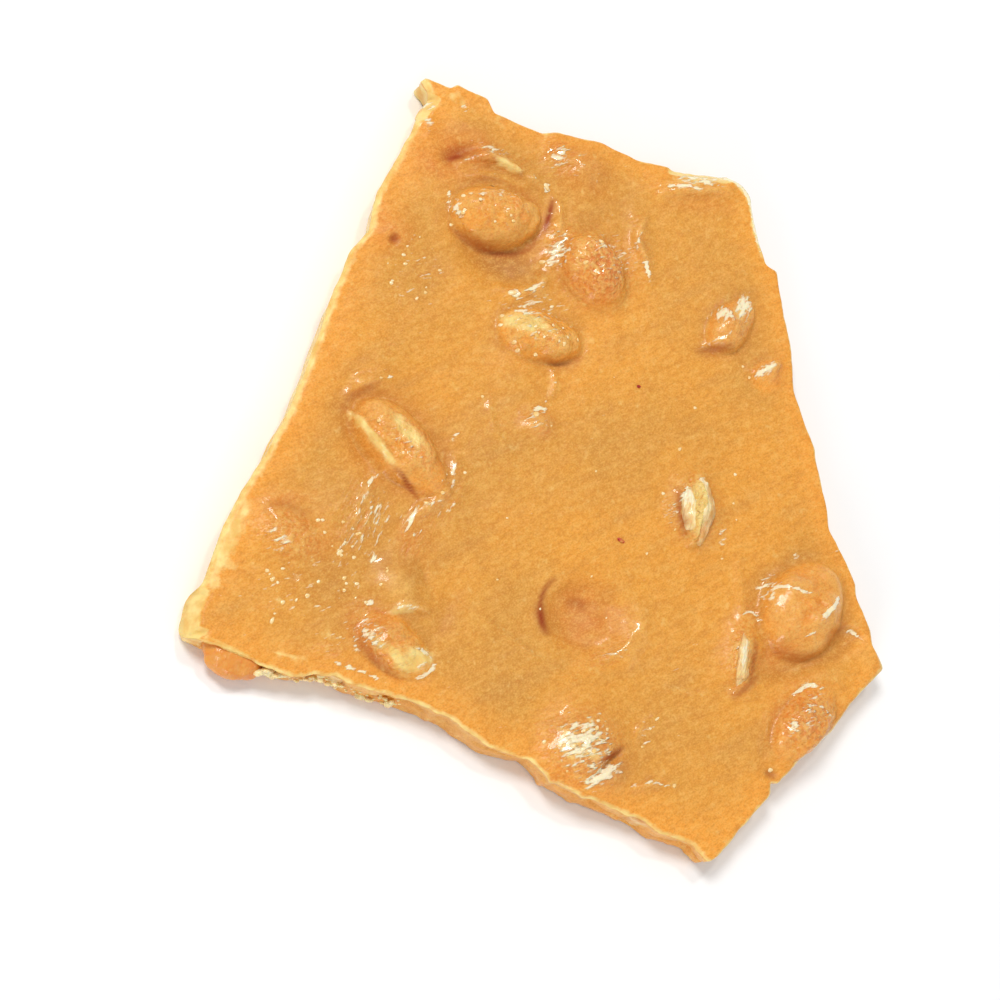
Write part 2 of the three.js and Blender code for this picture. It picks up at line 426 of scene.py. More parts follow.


# Where the finish changes over the upper face and over the nuts alike, painted shade and painted
# highlights among it. Each oval is its place, length, width, yaw and strength, and each line its path,
# strength and half width.
spotsLook = {
    "warm": [  # an orange-brown tone
        (-16, 46.4, 15, 9, 20, 0.95), (7, 31, 13, 13, 0, 0.95), (5.5, 46.6, 12, 9, -20, 0.5),
        (5.2, -22.4, 14, 13, 0, 0.6), (-26, 33.4, 8, 8, 0, 0.7), (-24.6, 1, 24, 16, -45, 0.35),
        (-20.6, 0.6, 12, 4, -50, 0.7), (4.9, -43, 14, 14, 0, 0.45), (-28, -27, 12, 9, -40, 0.6),
        (-39, -14, 14, 9, -25, 0.45), (-22, -13, 8, 12, -30, 0.35), (-41, -8.6, 9, 3, 10, 0.4),
        (-2.6, 6, 7, 6, 0, 0.4), (40, -36, 14, 12, 50, 0.75), (36, -26, 10, 6, 20, 0.5),
        (31, -22, 6, 5, 0, 0.4), (-13, 49, 10, 6, 0, 0.5), (25, 44, 14, 3, 5, 0.35),
        (-9.5, 38, 15, 10, 4, 0.3), (41, -19, 17, 13, 55, 0.4), (30, 25, 10, 7, 50, 0.35),
        (36.4, 17.6, 8, 6, 30, 0.3),
    ],
    "hollow": [  # painted shade: a grey-brown darkening in hollows and under nuts
        (-7.4, 30.8, 14, 7, -6, 1.0), (38, -28, 15, 5, 14, 0.6), (46, -24.4, 8, 3, 35, 0.6),
        (4.6, -21.6, 10, 9, 0, 0.58), (20.4, -6, 5, 6, 0, 0.3), (9.4, -45, 5, 8, 30, 0.5),
        (-33.4, 6, 5, 4, 45, 0.4), (-17.2, -24, 5, 7, -20, 0.35), (-22.6, -17.5, 6, 4, -60, 0.4),
        (-20, 27, 12, 6, 30, 0.25), (27, 20.4, 8, 3, 8, 0.5), (30, 24, 14, 12, 0, 0.2),
        (-37, -20, 15, 9, -20, 0.3), (-27, -16, 10, 6, -50, 0.25),
    ],
    "pale": [  # nut or blistered toffee showing through
        (-5.4, 21, 7.8, 4, -6, 1.0), (-24.2, 2.4, 10, 2.8, -42, 0.65), (-22.4, -31, 8, 4.4, 20, 0.75),
        (30.2, -26.6, 2.2, 6, -8, 0.7), (23, -4.8, 4.4, 10, -6, 1.0), (-7.6, 45.9, 5.8, 1.7, -22, 0.8),
        (-24, -23.6, 5.4, 1.8, 10, 0.55), (30.6, 27, 3, 5, -20, 0.4), (3, -41.8, 10, 7, 20, 0.4),
        (-19.8, 54.4, 3.4, 2.2, -30, 0.6), (-15.4, 55.4, 9, 3.6, -25, 0.2), (-8.6, 53, 8, 2, -25, 0.2),
        (25, 47.8, 10, 1.6, 4, 0.5), (-27, -29.6, 8, 2, -38, 0.4), (35.6, 18.4, 5, 1.8, 35, 0.4),
        (-35.6, -28.6, 6, 3, 20, 0.15),
    ],
    "steep": [  # where the wrinkles run up at 62 degrees, and not at 20
        (-26, -12, 32, 30, 0, 1.0), (30, 26, 14, 16, 0, 1.0), (36, 18, 10, 8, 0, 0.5),
    ],
    "pebble": [  # small round bumps
        (7, 31.4, 13, 12, 0, 1.0), (-9.5, 38, 14, 9, 4, 0.5), (-2.4, 20, 14, 8, -8, 0.8),
        (-24, 1, 16, 8, -43, 0.7), (-26, -28, 11, 7, -34, 0.4), (41, -19, 16, 13, 55, 0.35),
        (41, -36, 15, 10, 54, 0.8), (30, 25, 10, 7, 50, 0.3), (-41, -14, 11, 9, -30, 0.6),
        (4, -42.6, 14, 14, 0, 0.5), (23, -5, 7, 12, -6, 1.0), (30.4, -27, 5, 12, -8, 0.8),
    ],
    "wrinkle": [
        (1.2, 49, 7, 8, 20, 1.0), (1.2, 34.8, 6, 8, 0, 1.0), (7, 33.6, 9, 6, 20, 0.6),
        (3.8, -42.6, 15, 15, 0, 1.0), (23.5, 46.8, 16, 4.6, 6, 0.7), (15, 36, 5, 13, 10, 0.6),
        (-30.6, -10, 9, 16, -25, 0.6), (-17.5, -6, 8, 14, -30, 0.5), (8.6, -28, 12, 4, 30, 0.7),
        (-5, 26.6, 8, 3, 10, 0.6), (-9, 46.6, 14, 6, 0, 0.6), (-34, -31, 7, 3, -20, 0.5),
        (-43, -14, 8, 7, -30, 0.6), (35.5, 18.4, 8, 5, 20, 0.9), (-20.2, 51, 4, 6, 0, 0.6),
        (-22, -14, 5, 7, -30, 0.5), (32.2, -19.8, 4, 4, 0, 0.8), (38, -14.4, 9, 4, 20, 0.5),
        (16, -46.8, 6, 3, 0, 0.5), (-2.4, 20, 14, 8, -8, 0.3), (-24.4, 0.4, 17, 9, -43, 0.35),
        (-27.4, -27, 10, 8, -34, 0.9), (30, 26, 11, 8, 50, 0.7), (41, -36, 15, 10, 54, 0.5),
        (7.4, 31.6, 9, 8, 0, 0.3), (-9.5, 37.6, 15, 9, 4, 0.15), (-2.6, 6, 7, 6, 0, 0.5),
        (41, -19, 16, 13, 55, 0.25), (23, -5, 11, 13, 0, 0.7), (30.6, -27, 8, 13, -8, 0.7),
    ],
    "glint": [  # painted highlights on the crests of the wrinkles
        (0.9, 49.1, 4, 5.6, 0, 1.15), (-10, 48.2, 7, 2.8, -10, 0.85), (0.6, 33.4, 4.4, 8.4, -20, 1.2),
        (6.4, 34, 4.4, 3, 20, 0.9), (-2.6, 20, 13, 7, -8, 0.65), (-4.6, 22.9, 6, 1.4, -4, 1.5),
        (-2.6, 27.4, 6, 2, 35, 0.85), (-9.6, 40, 13, 5, 4, 0.6), (-12.6, 40.4, 5, 3, 20, 0.85),
        (-24.6, 0.8, 13, 4.4, -43, 0.7), (-32, -14, 6, 8, -40, 0.8), (-28.4, -16.4, 3.4, 3, 0, 0.85),
        (-29, -27.4, 7.4, 4.8, -60, 1.05), (-20.6, -32.3, 4.4, 3, 35, 1.1), (36, -15, 2.6, 5, 10, 0.85),
        (40.6, -10.6, 3.4, 2, 20, 0.75), (31.6, 27.8, 3.6, 7, -30, 1.55), (28, 26.2, 4.6, 4, 30, 1.4),
        (35.2, 18.2, 6.4, 3, 35, 1.15), (21.4, -3.4, 2.8, 5, 0, 1.35), (18.8, -5.4, 3.4, 6, 0, 0.8),
        (28, -8.4, 2.4, 5.4, 0, 0.75), (4, -41.4, 12.5, 10, 20, 1.2), (7, -46, 9.5, 3.6, 28, 1.4),
        (-2.6, 6.4, 6.6, 5, 0, 0.75), (-2.4, 8.2, 3.4, 2.2, 0, 1.2), (-42.6, -15, 7, 7, -30, 0.75),
        (42, -34.8, 9, 7, 50, 0.68), (38, -37.4, 2.6, 4, -30, 1.05), (-20.2, 54.3, 2.8, 2, -30, 1.3),
        (-20, 51, 3, 3.4, 0, 0.95), (-14.6, 54.6, 4, 1.8, -30, 0.8), (25, 47.6, 10, 2, 4, 1.05),
        (30.2, -26.6, 2.2, 6.4, -8, 1.15), (10, -27.6, 6, 2.4, 20, 0.85), (15, -39.6, 4, 6, -30, 0.7),
        (-36, -20, 22, 20, 0, 0.55), (-22, 27, 12, 14, 0, 0.5), (-17, -6, 8, 14, -20, 0.6),
        (-34, -29, 9, 5, 0, 0.6), (-28, -11, 7, 14, -25, 0.62), (-3, 24, 18, 12, 0, 0.6),
        (10, 33, 12, 14, 0, 0.6), (5, 47, 10, 7, -20, 0.55), (35, -17, 5, 9, 0, 0.8),
    ],
}
linesLook = {
    "stain": [  # painted shade: red-brown darkening in crevices and pits and along the shaded edges of nuts
        ([(-18.4, 45.2), (-15.6, 47), (-12.6, 48)], 0.5, 1.3),
        ([(-17.6, 45.5), (-15.8, 46.4), (-14, 46.8)], 0.9, 0.7),
        ([(0.1, 42), (-0.5, 39.4), (-1.4, 36)], 1.0, 0.5),
        ([(0.6, -16.6), (-1.8, -19), (-2.3, -22.4), (-0.6, -25.8)], 0.85, 0.45),
        ([(28.2, -33.6), (30.8, -31.8), (33.2, -29.4)], 0.6, 0.6),
        ([(-2.1, -20.4), (-2.2, -23.2), (-1, -25.8)], 1.0, 0.85),
        ([(23.4, 20), (27, 20.8), (30, 21)], 0.5, 0.6),
        ([(-30.8, -27.6), (-28, -31.6), (-23.6, -34)], 0.5, 0.6),
        ([(-17.4, 35.4), (-14.4, 33.4), (-9, 32), (-3.6, 33), (-1.6, 36.4)], 0.6, 0.5),
        ([(-33.8, 4.4), (-31.8, 8), (-27.4, 9.6)], 0.4, 0.6),
        ([(43, -24.6), (46, -22.4), (49, -20.6)], 0.4, 0.9),
        ([(34.2, -44), (35.2, -44.6), (36, -45)], 0.5, 0.8),
        ([(20.2, -1.4), (20.3, -5.6), (21.4, -9.8)], 0.7, 0.6),
        ([(23.6, -3), (22.9, -6), (22.4, -9)], 0.6, 0.35),
        ([(25.6, -1), (26, -5), (24.6, -9.4)], 0.5, 0.5),
        ([(32.4, -23), (32.6, -28), (30.4, -32.6)], 0.6, 0.5),
        ([(-26.6, 32.2), (-25.8, 31.9), (-25, 32.4)], 0.7, 0.8),
        ([(2.4, -20.6), (4.4, -20), (6, -20.6)], 0.45, 0.9),
        ([(5.2, -44.7), (7.6, -43.6), (10.8, -41.6)], 0.85, 0.5),
        ([(-26.1, -2.8), (-23.6, -5), (-21, -7.2)], 0.9, 0.28),
        ([(-45.6, -10.6), (-41.6, -9.4), (-37.8, -11.6)], 0.3, 0.8),
        ([(35.4, -24.6), (39.6, -27), (44.6, -25.6)], 0.4, 0.8),
        ([(-3.4, 16.2), (1.4, 15.4), (5, 17.6)], 0.45, 0.5),
    ],
    "pale": [
        ([(-32.4, 5.4), (-30.4, 2.4), (-28, -0.6), (-25.6, -3.2)], 1.1, 0.45),
        ([(-45.4, -32.2), (-49.8, -30.6), (-53.6, -29)], 0.8, 0.3),
        ([(-44.6, -30.6), (-40.6, -31.4), (-37.6, -31.6)], 0.5, 0.3),
        ([(-53.8, -24.6), (-50.2, -17), (-46.6, -8.6)], 0.75, 1.2),
        ([(-27, -29), (-25.2, -31), (-22.6, -33)], 1.1, 0.7),
        # a painted highlight along the rounded top-right rim
        ([(24, 49.3), (29.4, 49.2), (31.8, 47.9), (33.5, 45.8), (34, 41.4), (35.6, 36)], 1.2, 0.45),
    ],
    # painted highlights in lines along ridges, rims and nuts
    "glint": [
        ([(-14.8, 45.8), (-11.4, 47.2)], 1.2, 0.35), ([(-1.2, 44.2), (-0.8, 42.6)], 2.4, 0.5),
        ([(-3.4, 45.2), (-2.8, 44.4)], 1.8, 0.3), ([(-7, 25.8), (-5.4, 26.2)], 2.6, 0.75),
        ([(-5.4, 26.2), (-3.2, 27.1), (-1.6, 28.4)], 1.7, 0.35),
        ([(-26, 11.6), (-25.9, 10.2)], 1.6, 0.4), ([(-29.5, -5.8), (-27.5, -3.5)], 1.8, 0.4),
        ([(-16, -0.1), (-15.9, -3), (-16.6, -5.8)], 1.6, 0.42), ([(-16.6, 2.2), (-14.6, 4)], 1.8, 0.35),
        ([(-17.4, -6.8), (-21, -8)], 1.5, 0.4),
        ([(-21.1, -7.1), (-22.6, -10), (-23.9, -13)], 1.6, 0.45),
        ([(-22.3, -12.8), (-20.5, -11.3)], 1.7, 0.32), ([(-15, -6), (-17.3, -9)], 1.6, 0.28),
        ([(-28.8, -4.6), (-30, -8), (-31.7, -12)], 1.35, 0.3),
        ([(-28.6, -6), (-28.9, -11.4)], 1.25, 0.28), ([(-30, -23.1), (-27.9, -22.7)], 2.0, 0.5),
        ([(-30.6, -25.2), (-31.4, -28), (-30.2, -31.4)], 1.5, 0.35),
        ([(-25.8, -24.2), (-23.6, -23.2), (-20.8, -23.2)], 1.3, 0.45),
        ([(-23.4, -29), (-20.4, -29.6), (-18.6, -31)], 1.5, 0.4),
        ([(-18.8, -31), (-19.4, -32.4), (-21.4, -33.8)], 1.7, 0.4),
        ([(33.4, -15.6), (37.4, -16.4), (41.6, -17)], 1.8, 0.36),
        ([(41.4, -21.8), (44.5, -19), (46.8, -16.4)], 2.3, 0.45),
        ([(39.7, -23.6), (42.5, -22.6)], 1.3, 0.3),
        ([(29.8, -21.2), (31.3, -19.8), (33, -20.1), (33.5, -22)], 1.6, 0.4),
        ([(30.5, -24.2), (30.2, -27), (29.7, -29.4)], 1.8, 0.5),
        ([(38.8, -32.8), (40.4, -30.8), (42.6, -30.4), (44.4, -31.3)], 1.9, 0.4),
        ([(39, -34.6), (41.4, -33.6), (44, -34.4), (45.6, -36)], 1.4, 0.32),
        ([(48, -22.4), (49.8, -21.4), (51.9, -23.4)], 1.4, 0.32),
        ([(23.5, 20.4), (26.4, 21.8), (29.6, 23.5)], 1.4, 0.32),
        ([(33.2, 16.6), (35.2, 18.4), (37.6, 19.6)], 1.9, 0.42),
        ([(11.1, -47.5), (15.6, -46.3), (19.1, -47.3)], 1.4, 0.32),
        ([(-1.2, 10.9), (-1.9, 6.6)], 1.3, 0.28), ([(14.8, 38.4), (13.6, 36.4), (14, 34.4)], 1.6, 0.4),
        ([(15, 34.2), (15.7, 32), (16, 30.2)], 2.0, 0.42),
        ([(18.6, 46.1), (22, 46.4), (25.8, 45.9)], 1.7, 0.38),
        ([(-0.4, 15.4), (0.4, 12.4), (-1, 9.4)], 1.2, 0.26),
        ([(20.3, 48), (25, 48.4), (29.2, 48.4)], 1.4, 0.32),
        ([(24, 49.3), (29.4, 49.2), (31.8, 47.9), (33.5, 45.8), (34, 41.4), (35.6, 36)], 1.9, 0.4),
        ([(-16.9, 41.4), (-17.2, 38.8), (-16.6, 36.6)], 1.4, 0.35),
        ([(-35, -31.6), (-30, -33), (-25.6, -34.4)], 1.3, 0.35),
        ([(21.4, -0.8), (21.7, -3), (21.6, -5)], 1.7, 0.7), ([(23.8, 0.6), (24.6, -2.4)], 1.6, 0.6),
        ([(-16, 39.6), (-16.4, 37.4), (-15.4, 35.6)], 1.5, 0.5),
    ],
}


def finishAt(x, y):
    # each kind of finish is the strongest of its ovals, strength * e^-(s/0.85)^3 with s the share of
    # the way out, and of its lines, strength * e^-(d/w)^2 with d the distance
    values = {}
    for kind in ("warm", "hollow", "pale", "wrinkle", "glint", "stain", "pebble", "steep"):
        value = patches(x, y, spotsLook.get(kind, []))
        for path, strength, width in linesLook.get(kind, []):
            value = np.maximum(value, strength * pathShare(x, y, path, (width, width)))
        values[kind] = value
    return values


def mound(x, y, spec):  # rise * e^-(s/0.82)^p, where s is the share of the way from the middle to the edge
    px, py, length, width, yaw, rise, power = spec
    return rise * np.exp(-(ovalShare(x, y, (px, py), (length, width), yaw) / 0.82)**power)


def patches(x, y, specs):  # the strongest of several soft-edged ovals at each place
    value = np.zeros_like(x)
    for px, py, length, width, yaw, strength in specs:
        share = ovalShare(x, y, (px, py), (length, width), yaw)
        value = np.maximum(value, strength * np.exp(-(share / 0.85)**3))
    return value


# film is how far the toffee stands above a nut (below, where negative), blend how widely the two
# run together, and gap a narrow groove's depth and direction round the nut. lumps is how uneven the
# nut is and cell how wide its lumps are, grow how far it swells, ease how often its faces are smoothed.
# Grooves are the angle round the nut, depth, width, and from where to where along it. warm, wrinkle and
# pale are the least of that finish all over the nut, and finish its material where that isn't toffee.
nutLook = {
    "peanut_01": dict(film=-0.1, blend=1.0, gap=(0.2, -20), lumps=0.6, wrinkle=0.15),
    "peanut_02": dict(film=-0.05, blend=1.8, gap=(0.15, -50), lumps=0.8, wrinkle=0.25),
    "peanut_03": dict(film=0.2, blend=4, lumps=0.9, wrinkle=0.3),
    "peanut_04": dict(film=0.2, blend=2.2, gap=(0.15, -60), lumps=0.5, wrinkle=0.6),
    "peanut_05": dict(film=0.1, blend=2.4, gap=(0.2, 130), lumps=0.7, wrinkle=0.3),
    "peanut_06": dict(film=-0.1, blend=1.0, gap=(0.3, -130), lumps=0.45, wrinkle=0.8),
    "peanut_07": dict(film=0.1, blend=3, gap=(0.2, -140), lumps=0.8, cell=5, wrinkle=0.3),
    "peanut_08": dict(finish="bare", lumps=0.8, cell=2.6, grow=0.3, wrinkle=0.9, ease=5, pale=0.5,
                      grooves=[(60, 0.3, 0.25, -1, 1), (100, 0.35, 0.25, -1, 1), (140, 0.3, 0.25, -1, 1)]),
    "peanut_09": dict(finish="bare", lumps=0.8, cell=2.6, grow=0.3, wrinkle=0.8, ease=5, pale=0.45,
                      grooves=[(70, 0.3, 0.25, -1, 1), (110, 0.3, 0.25, -1, 1)]),
    "peanut_10": dict(film=0.05, blend=1.2, gap=(0.3, 120), lumps=0.6, wrinkle=0.6, ease=10,
                      grooves=[(70, 0.4, 0.4, -1, 1), (105, 0.4, 0.4, -1, 1)]),
    "peanut_11": dict(film=0.1, blend=1.2, lumps=0.5, wrinkle=0.8),
    "peanut_12": dict(finish="glazed", lumps=0.5, wrinkle=0.4, warm=0.3),
    "peanut_13": dict(finish="bare", lumps=0.4, wrinkle=0.5, ease=4, pale=0.6),
    "peanut_14": dict(finish="bare", lumps=0.3, wrinkle=0.2, ease=8, pale=0.6),
    "peanut_15": dict(finish="bare", lumps=0.4, wrinkle=0.5, ease=4, pale=0.3),
    "peanut_16": dict(finish="bare", lumps=0.8, cell=2.6, grow=0.5, wrinkle=0.9, ease=5, pale=0.6,
                      grooves=[(60, 0.3, 0.25, -1, 1), (110, 0.35, 0.25, -1, 1)]),
}


filmed = [name for name, look in nutLook.items() if "film" in look]


def nutLumps(points, name):  # the nut's own lumps of layered noise, plus a finer roughness
    seed, look = int(name[-2:]) * 7, nutLook[name]
    rough = look["lumps"] * layeredNoise(points, look.get("cell", 3.5), seed, 3)
    return rough + 0.14 * layeredNoise(points, 1.3, seed + 3, 2)


def domeOver(name, x, y):
    # the upper side of a nut, and past its rim a steep fall: with s the share of the way out to the
    # rim, z = middle + half height * fat * sqrt(1 - s^2), or middle - 3 * half height * (s - 1)
    nut = nuts[name]
    along, across = spun(x - nut["middle"][0], y - nut["middle"][1], -nut["yaw"])
    along = along / nut["half"][0]
    fat = 1 - nut["taper"] * np.clip(along, -1, 1)
    share = np.hypot(along, across / (nut["half"][1] * fat))
    inside, past = np.sqrt(np.clip(1 - share**2, 0, 1)), np.clip(share - 1, 0, None)
    z = nut["middle"][2] + nut["half"][2] * (fat * inside - 3 * past)
    return z + nutLumps(np.stack([x, y, z], -1), name), share


# ---- the slab

slabLook = {
    "across": 225, "along": 337,  # grid lines over the top
    "bottomStep": 4,  # the underside takes every so many of them
    "settle": 160,  # rounds of evening out the grid
    "thickness": 5.5, "waves": 0.3, "swell": 0.25, "peel": 0.1, "fine": 0.03,
    "beads": 0.5,  # how uneven the ridges are along their length
    # for the broken edge, the right, the top and the left: how far in and down the upper edge is
    # rounded, how ragged the outline is, how strong and how wide the rim's pale band with its painted
    # highlight is, and how pale and how uneven the wall is
    "rim": (0.5, 0.5, 0.6, 1.0), "rimDrop": (0.4, 0.45, 0.5, 0.7), "chips": (0.3, 0.1, 0.14, 0.1),
    "rimPaleAndLit": (0.7, 0.8, 0.7, 0.8), "rimPaleAndLitWide": (0.7, 0.6, 0.7, 1.5),
    "wallPale": (0.1, 0.35, 0.3, 1.0), "wallRelief": (0.5, 0.3, 0.3, 0.2),
    "overhang": (0, 0, 0, 1.0),  # how far the upper edge stands out past the lower one
    "wallRows": 14, "wallSlant": 0.6, "lip": 0.25,
    "slit": 0.5, "slitHigh": 0.06,  # between two layers of the toffee: its depth, and height as a share
    "nutRoom": 0.6,  # how far the wall steps back round a nut
    "scoops": (5.5, 5.5, 3.2), "scoopMiddle": 0.45, "scoopFine": 0.3,  # of the wall's broken face
    "foot": 0.35, "tuck": 0.15,  # how far the wall runs out to its foot, and turns in under it
    "flowMarks": (5.0, 0.1, 0.5), "pits": (2.7, 0.45, 0.8),  # underneath: width, where they start, depth
    "bevels": [  # facets broken off the upper edge: place, length, width, yaw, reach inwards and drop
        (-54.2, -26, 8, 6.4, 70, 2.0, 3.2), (25, 48.6, 12, 5, 3, 1.6, 1.0),
        (-20.2, 53.6, 5, 6, 80, 1.6, 1.2),
    ],
    "swellings": [  # place, length, width, yaw, rise, and how flat-topped it is
        (-40.8, -13.9, 11, 9, -30, 1.0, 2), (-24.4, -20.4, 9, 7, -60, 1.3, 2.5),
        (4.9, -42.8, 13.5, 14.5, 20, 3.0, 2.4), (-2.9, 5.9, 6, 5.4, 10, 1.0, 2.4),
        (5, 47, 10, 7.5, -20, 1.5, 2), (-26, 33, 7, 6, 0, 0.7, 2), (7.4, -24.2, 9, 8, 30, 0.9, 2),
        (44, -30, 10, 9, 20, 0.5, 2), (52, -25.5, 7, 8, 60, 0.5, 2.5), (3.6, 34.6, 6, 8, 10, 1.2, 2.2),
        (14.6, 36, 4, 12, 8, 0.5, 2.2), (23, 46.5, 15, 4, 6, 0.7, 2.2), (-13, 50.5, 12, 6, -30, 0.6, 2),
        (-6, 14, 11, 8, -70, 0.45, 2.5), (-34, -10, 9, 12, 20, 0.4, 2), (23, -5.2, 10, 13, -8, 1.0, 3),
        (30.4, -27, 8, 13.5, -8, 0.9, 3),
    ],
    "hollows": [  # the same, cut down instead
        (-8.2, 33.2, 17.5, 15, -14, 1.45, 4.5), (5.2, -22.4, 14.8, 13.6, 10, 1.9, 5),
        (-27, 1.6, 20, 11, -45, 0.8, 4), (38.4, -27, 17, 6.5, 16, 1.5, 2.6),
        (-15.6, 46.8, 6, 3, 25, 0.8, 2), (34.6, -40, 3.4, 9, -25, 0.6, 2.2),
        (28.6, -31.4, 4.5, 2.4, 30, 0.5, 2), (-17.6, -24, 4, 9, -20, 0.4, 2),
        (48.6, -23.4, 9, 3, 35, 0.9, 2), (-25.8, 31.9, 2, 1.8, 0, 0.7, 2.5), (27, 21, 8, 2, 8, 0.5, 2),
        (34.9, -44.3, 3, 2.4, 0, 0.8, 2),
    ],
    "ridges": [  # path, rise, width on its left, width on its right
        ([(-16.6, 45.4), (-13.6, 46.9), (-9, 46.8), (-4, 44.8), (-1.2, 42.6)], 0.95, 0.8, 1.0),
        ([(-15.5, 43), (-10, 44.3), (-4.5, 42.8)], 0.45, 0.7, 0.5),
        ([(1.2, 42.6), (1.2, 38), (-0.2, 34.4)], 0.55, 0.6, 1.4),
        ([(-9.6, 26.9), (-6.9, 26), (-3.6, 26.4), (-1.6, 29), (-0.2, 33.5)], 0.8, 0.9, 1.3),
        ([(-15.6, 0.4), (-15.8, -3.4), (-18.6, -7), (-21.2, -8.4), (-23.8, -13.2)], 0.8, 1.2, 0.7),
        ([(-13.8, -1), (-14.4, -4.6), (-17.4, -9.8)], 0.35, 0.7, 0.5),
        ([(-32.6, 5.6), (-30.4, 2.4), (-28, -0.6), (-25.2, -3.4)], 0.8, 0.45, 0.6),
        ([(-31.8, 6.4), (-29.4, 3.2), (-27, 0.4), (-24.6, -2.2)], -0.5, 0.5, 0.5),
        ([(-33.6, 4.6), (-31.6, 8.6), (-28.4, 10.4), (-25.4, 10.8)], 0.5, 1.2, 0.6),
        ([(-26.6, -2.8), (-29.8, -6), (-31, -11), (-34.2, -15.6)], 0.4, 0.8, 0.5),
        ([(-29.2, -4.8), (-28.6, -8), (-29.4, -12), (-32.6, -16)], 0.35, 0.5, 0.6),
        ([(-21.8, -14.6), (-20.4, -18), (-18.6, -22)], -0.4, 0.6, 0.8),
        ([(-25.6, -24), (-22.8, -23), (-19.2, -23.6)], 0.6, 0.7, 0.7),
        ([(17, 44.2), (21, 45.6), (26, 46), (30.6, 47)], 0.55, 0.6, 0.7),
        ([(17.6, 46.6), (20, 46.4), (25, 46.6)], 0.35, 0.5, 0.4),
        ([(16, 41.4), (13.4, 37.8), (14.2, 35), (15.9, 33), (16, 29.6)], 0.6, 0.8, 0.5),
        ([(9.4, -30.6), (12.4, -28.2), (14.4, -24), (14, -19.6)], 0.45, 1.3, 1.2),
        ([(8.2, -28.6), (11.2, -27.2), (12.8, -24)], 0.25, 0.4, 0.4),
        ([(-15.8, -21.4), (-8, -25.8), (-4.4, -28.6), (1.6, -31), (8, -34.4)], 0.2, 0.4, 0.4),
        ([(15.6, -32.2), (22, -33), (28.6, -33)], 0.2, 0.4, 0.4),
        ([(10.8, -48), (14, -47.4), (17, -46), (19.6, -47.6)], 0.5, 0.6, 0.6),
        ([(13, -42), (12.6, -39), (17, -36)], 0.25, 0.4, 0.5),
        ([(4.6, -47.4), (7.2, -44.8), (10.6, -42)], -1.1, 0.5, 0.5),
        ([(-0.4, 15.2), (0.4, 12.4), (-1, 9.6)], 0.3, 0.5, 0.4),
        ([(-10.4, 9.6), (-10.2, 5.4), (-7.2, 1.2), (-5.6, -0.4)], 0.22, 0.5, 0.4),
        ([(23.4, 20.2), (26.4, 21.8), (29.8, 21.6)], 0.4, 0.5, 0.5),
        ([(46, -21.6), (49.6, -20.4), (52.6, -22.2)], 0.6, 0.6, 0.6),
        ([(34.4, -17), (38.6, -15.6), (43, -15.6)], 0.45, 1.2, 2.6),
        ([(41.2, -22), (44.5, -19), (47, -16.2)], 0.25, 0.9, 0.7),
        ([(35, -19), (35.6, -22.6), (38, -25.4)], 0.35, 0.7, 1.2),
        ([(34.4, -35), (34.4, -39), (34.8, -43)], 0.35, 0.5, 0.6),
        ([(30.4, -11), (30.6, -16), (30.4, -22)], 0.25, 0.6, 0.8),
        ([(32, 18), (35, 18), (38.4, 20)], 0.5, 0.5, 0.6),
        ([(24.2, 1), (23.4, -4), (22.8, -7), (22, -11)], 2.6, 0.9, 0.9),
        ([(-43, -12.4), (-39.6, -12), (-37.8, -14.6)], 0.25, 0.5, 0.5),
        ([(-42.4, -17.4), (-40.6, -19), (-39.6, -20.4)], -0.35, 0.5, 0.5),
    ],
    "crease": 0.16, "creaseTurns": ((0.94, 0.34), (0.47, 0.88)),  # gentle and steep, as cosine and sine
    "reliefReach": 6,  # grid lines over which the surface is averaged to find its crests and hollows
    "reliefSpan": (0.05, 0.6),  # how far above or below that a crest's painted light or a hollow's painted shade starts and is full
    "thinReach": 7,  # how far in from the edge the toffee looks thin
    # how strong each finish is: the painted shade in hollows, the amber near the edge and over nuts, the
    # gloss on ridges, and the gloss and amber on the wall
    "sunkShade": 0.45, "thin": 0.6, "overNuts": 0.75, "shine": 0.7, "wallGloss": 0.35, "wallAmber": 0.25,
}


def coated(x, y, height, name):
    # toffee run up over a nut to a film of uneven thickness, and the narrow gap round part of it
    look = nutLook[name]
    dome, share = domeOver(name, x, y)
    film = look["film"] + 0.2 * noiseAt(np.stack([x, y, dome], -1), 2.6, 17)
    height = smoothMax(height, dome + film, look["blend"])
    if "gap" in look:  # it runs just outside the rim, at a share of 1.04
        depth, direction = look["gap"]
        middle = nuts[name]["middle"]
        bearing = np.arctan2(y - middle[1], x - middle[0]) - np.radians(direction)
        height -= depth * np.exp(-((share - 1.04) / 0.09)**2) * smoothStep(-0.2, 0.6, np.cos(bearing))
    return height


def topHeight(x, y):
    # z = thickness + waves * sin * cos + swell, plus the swellings, less the hollows, run up over the
    # filmed nuts, plus beaded ridges, the skin's fine relief, and creases drawn out along two directions
    look = slabLook
    spot = onGround(x, y)
    height = look["thickness"] + look["waves"] * np.sin(x / 9 + 1) * np.cos(y / 12)
    height += look["swell"] * layeredNoise(spot, 17.0, 81, 2)
    for spec in look["swellings"]:
        height += mound(x, y, spec)
    for spec in look["hollows"]:
        height -= mound(x, y, spec)
    for name in filmed:
        middle, reach = nuts[name]["middle"], 2 * nuts[name]["half"][0]
        near = np.hypot(x - middle[0], y - middle[1]) < reach
        height[near] = coated(x[near], y[near], height[near], name)
    beaded = 1 + look["beads"] * noiseAt(spot, 1.5, 19)
    for path, rise, left, right in look["ridges"]:
        height += rise * beaded * pathShare(x, y, path, (left, right))
    height += look["peel"] * layeredNoise(spot, 5.0, 11, 3) + look["fine"] * noiseAt(spot, 1.1, 15)
    creased, steep = patches(x, y, spotsLook["wrinkle"]), patches(x, y, spotsLook["steep"])
    for share, (c, s) in zip((1 - steep, steep), look["creaseTurns"]):
        turned = onGround(x * c + y * s, y * c - x * s)
        height += creased * share * look["crease"] * layeredNoise(turned, (3.6, 1.2, 1.0), 21, 2)
    return height


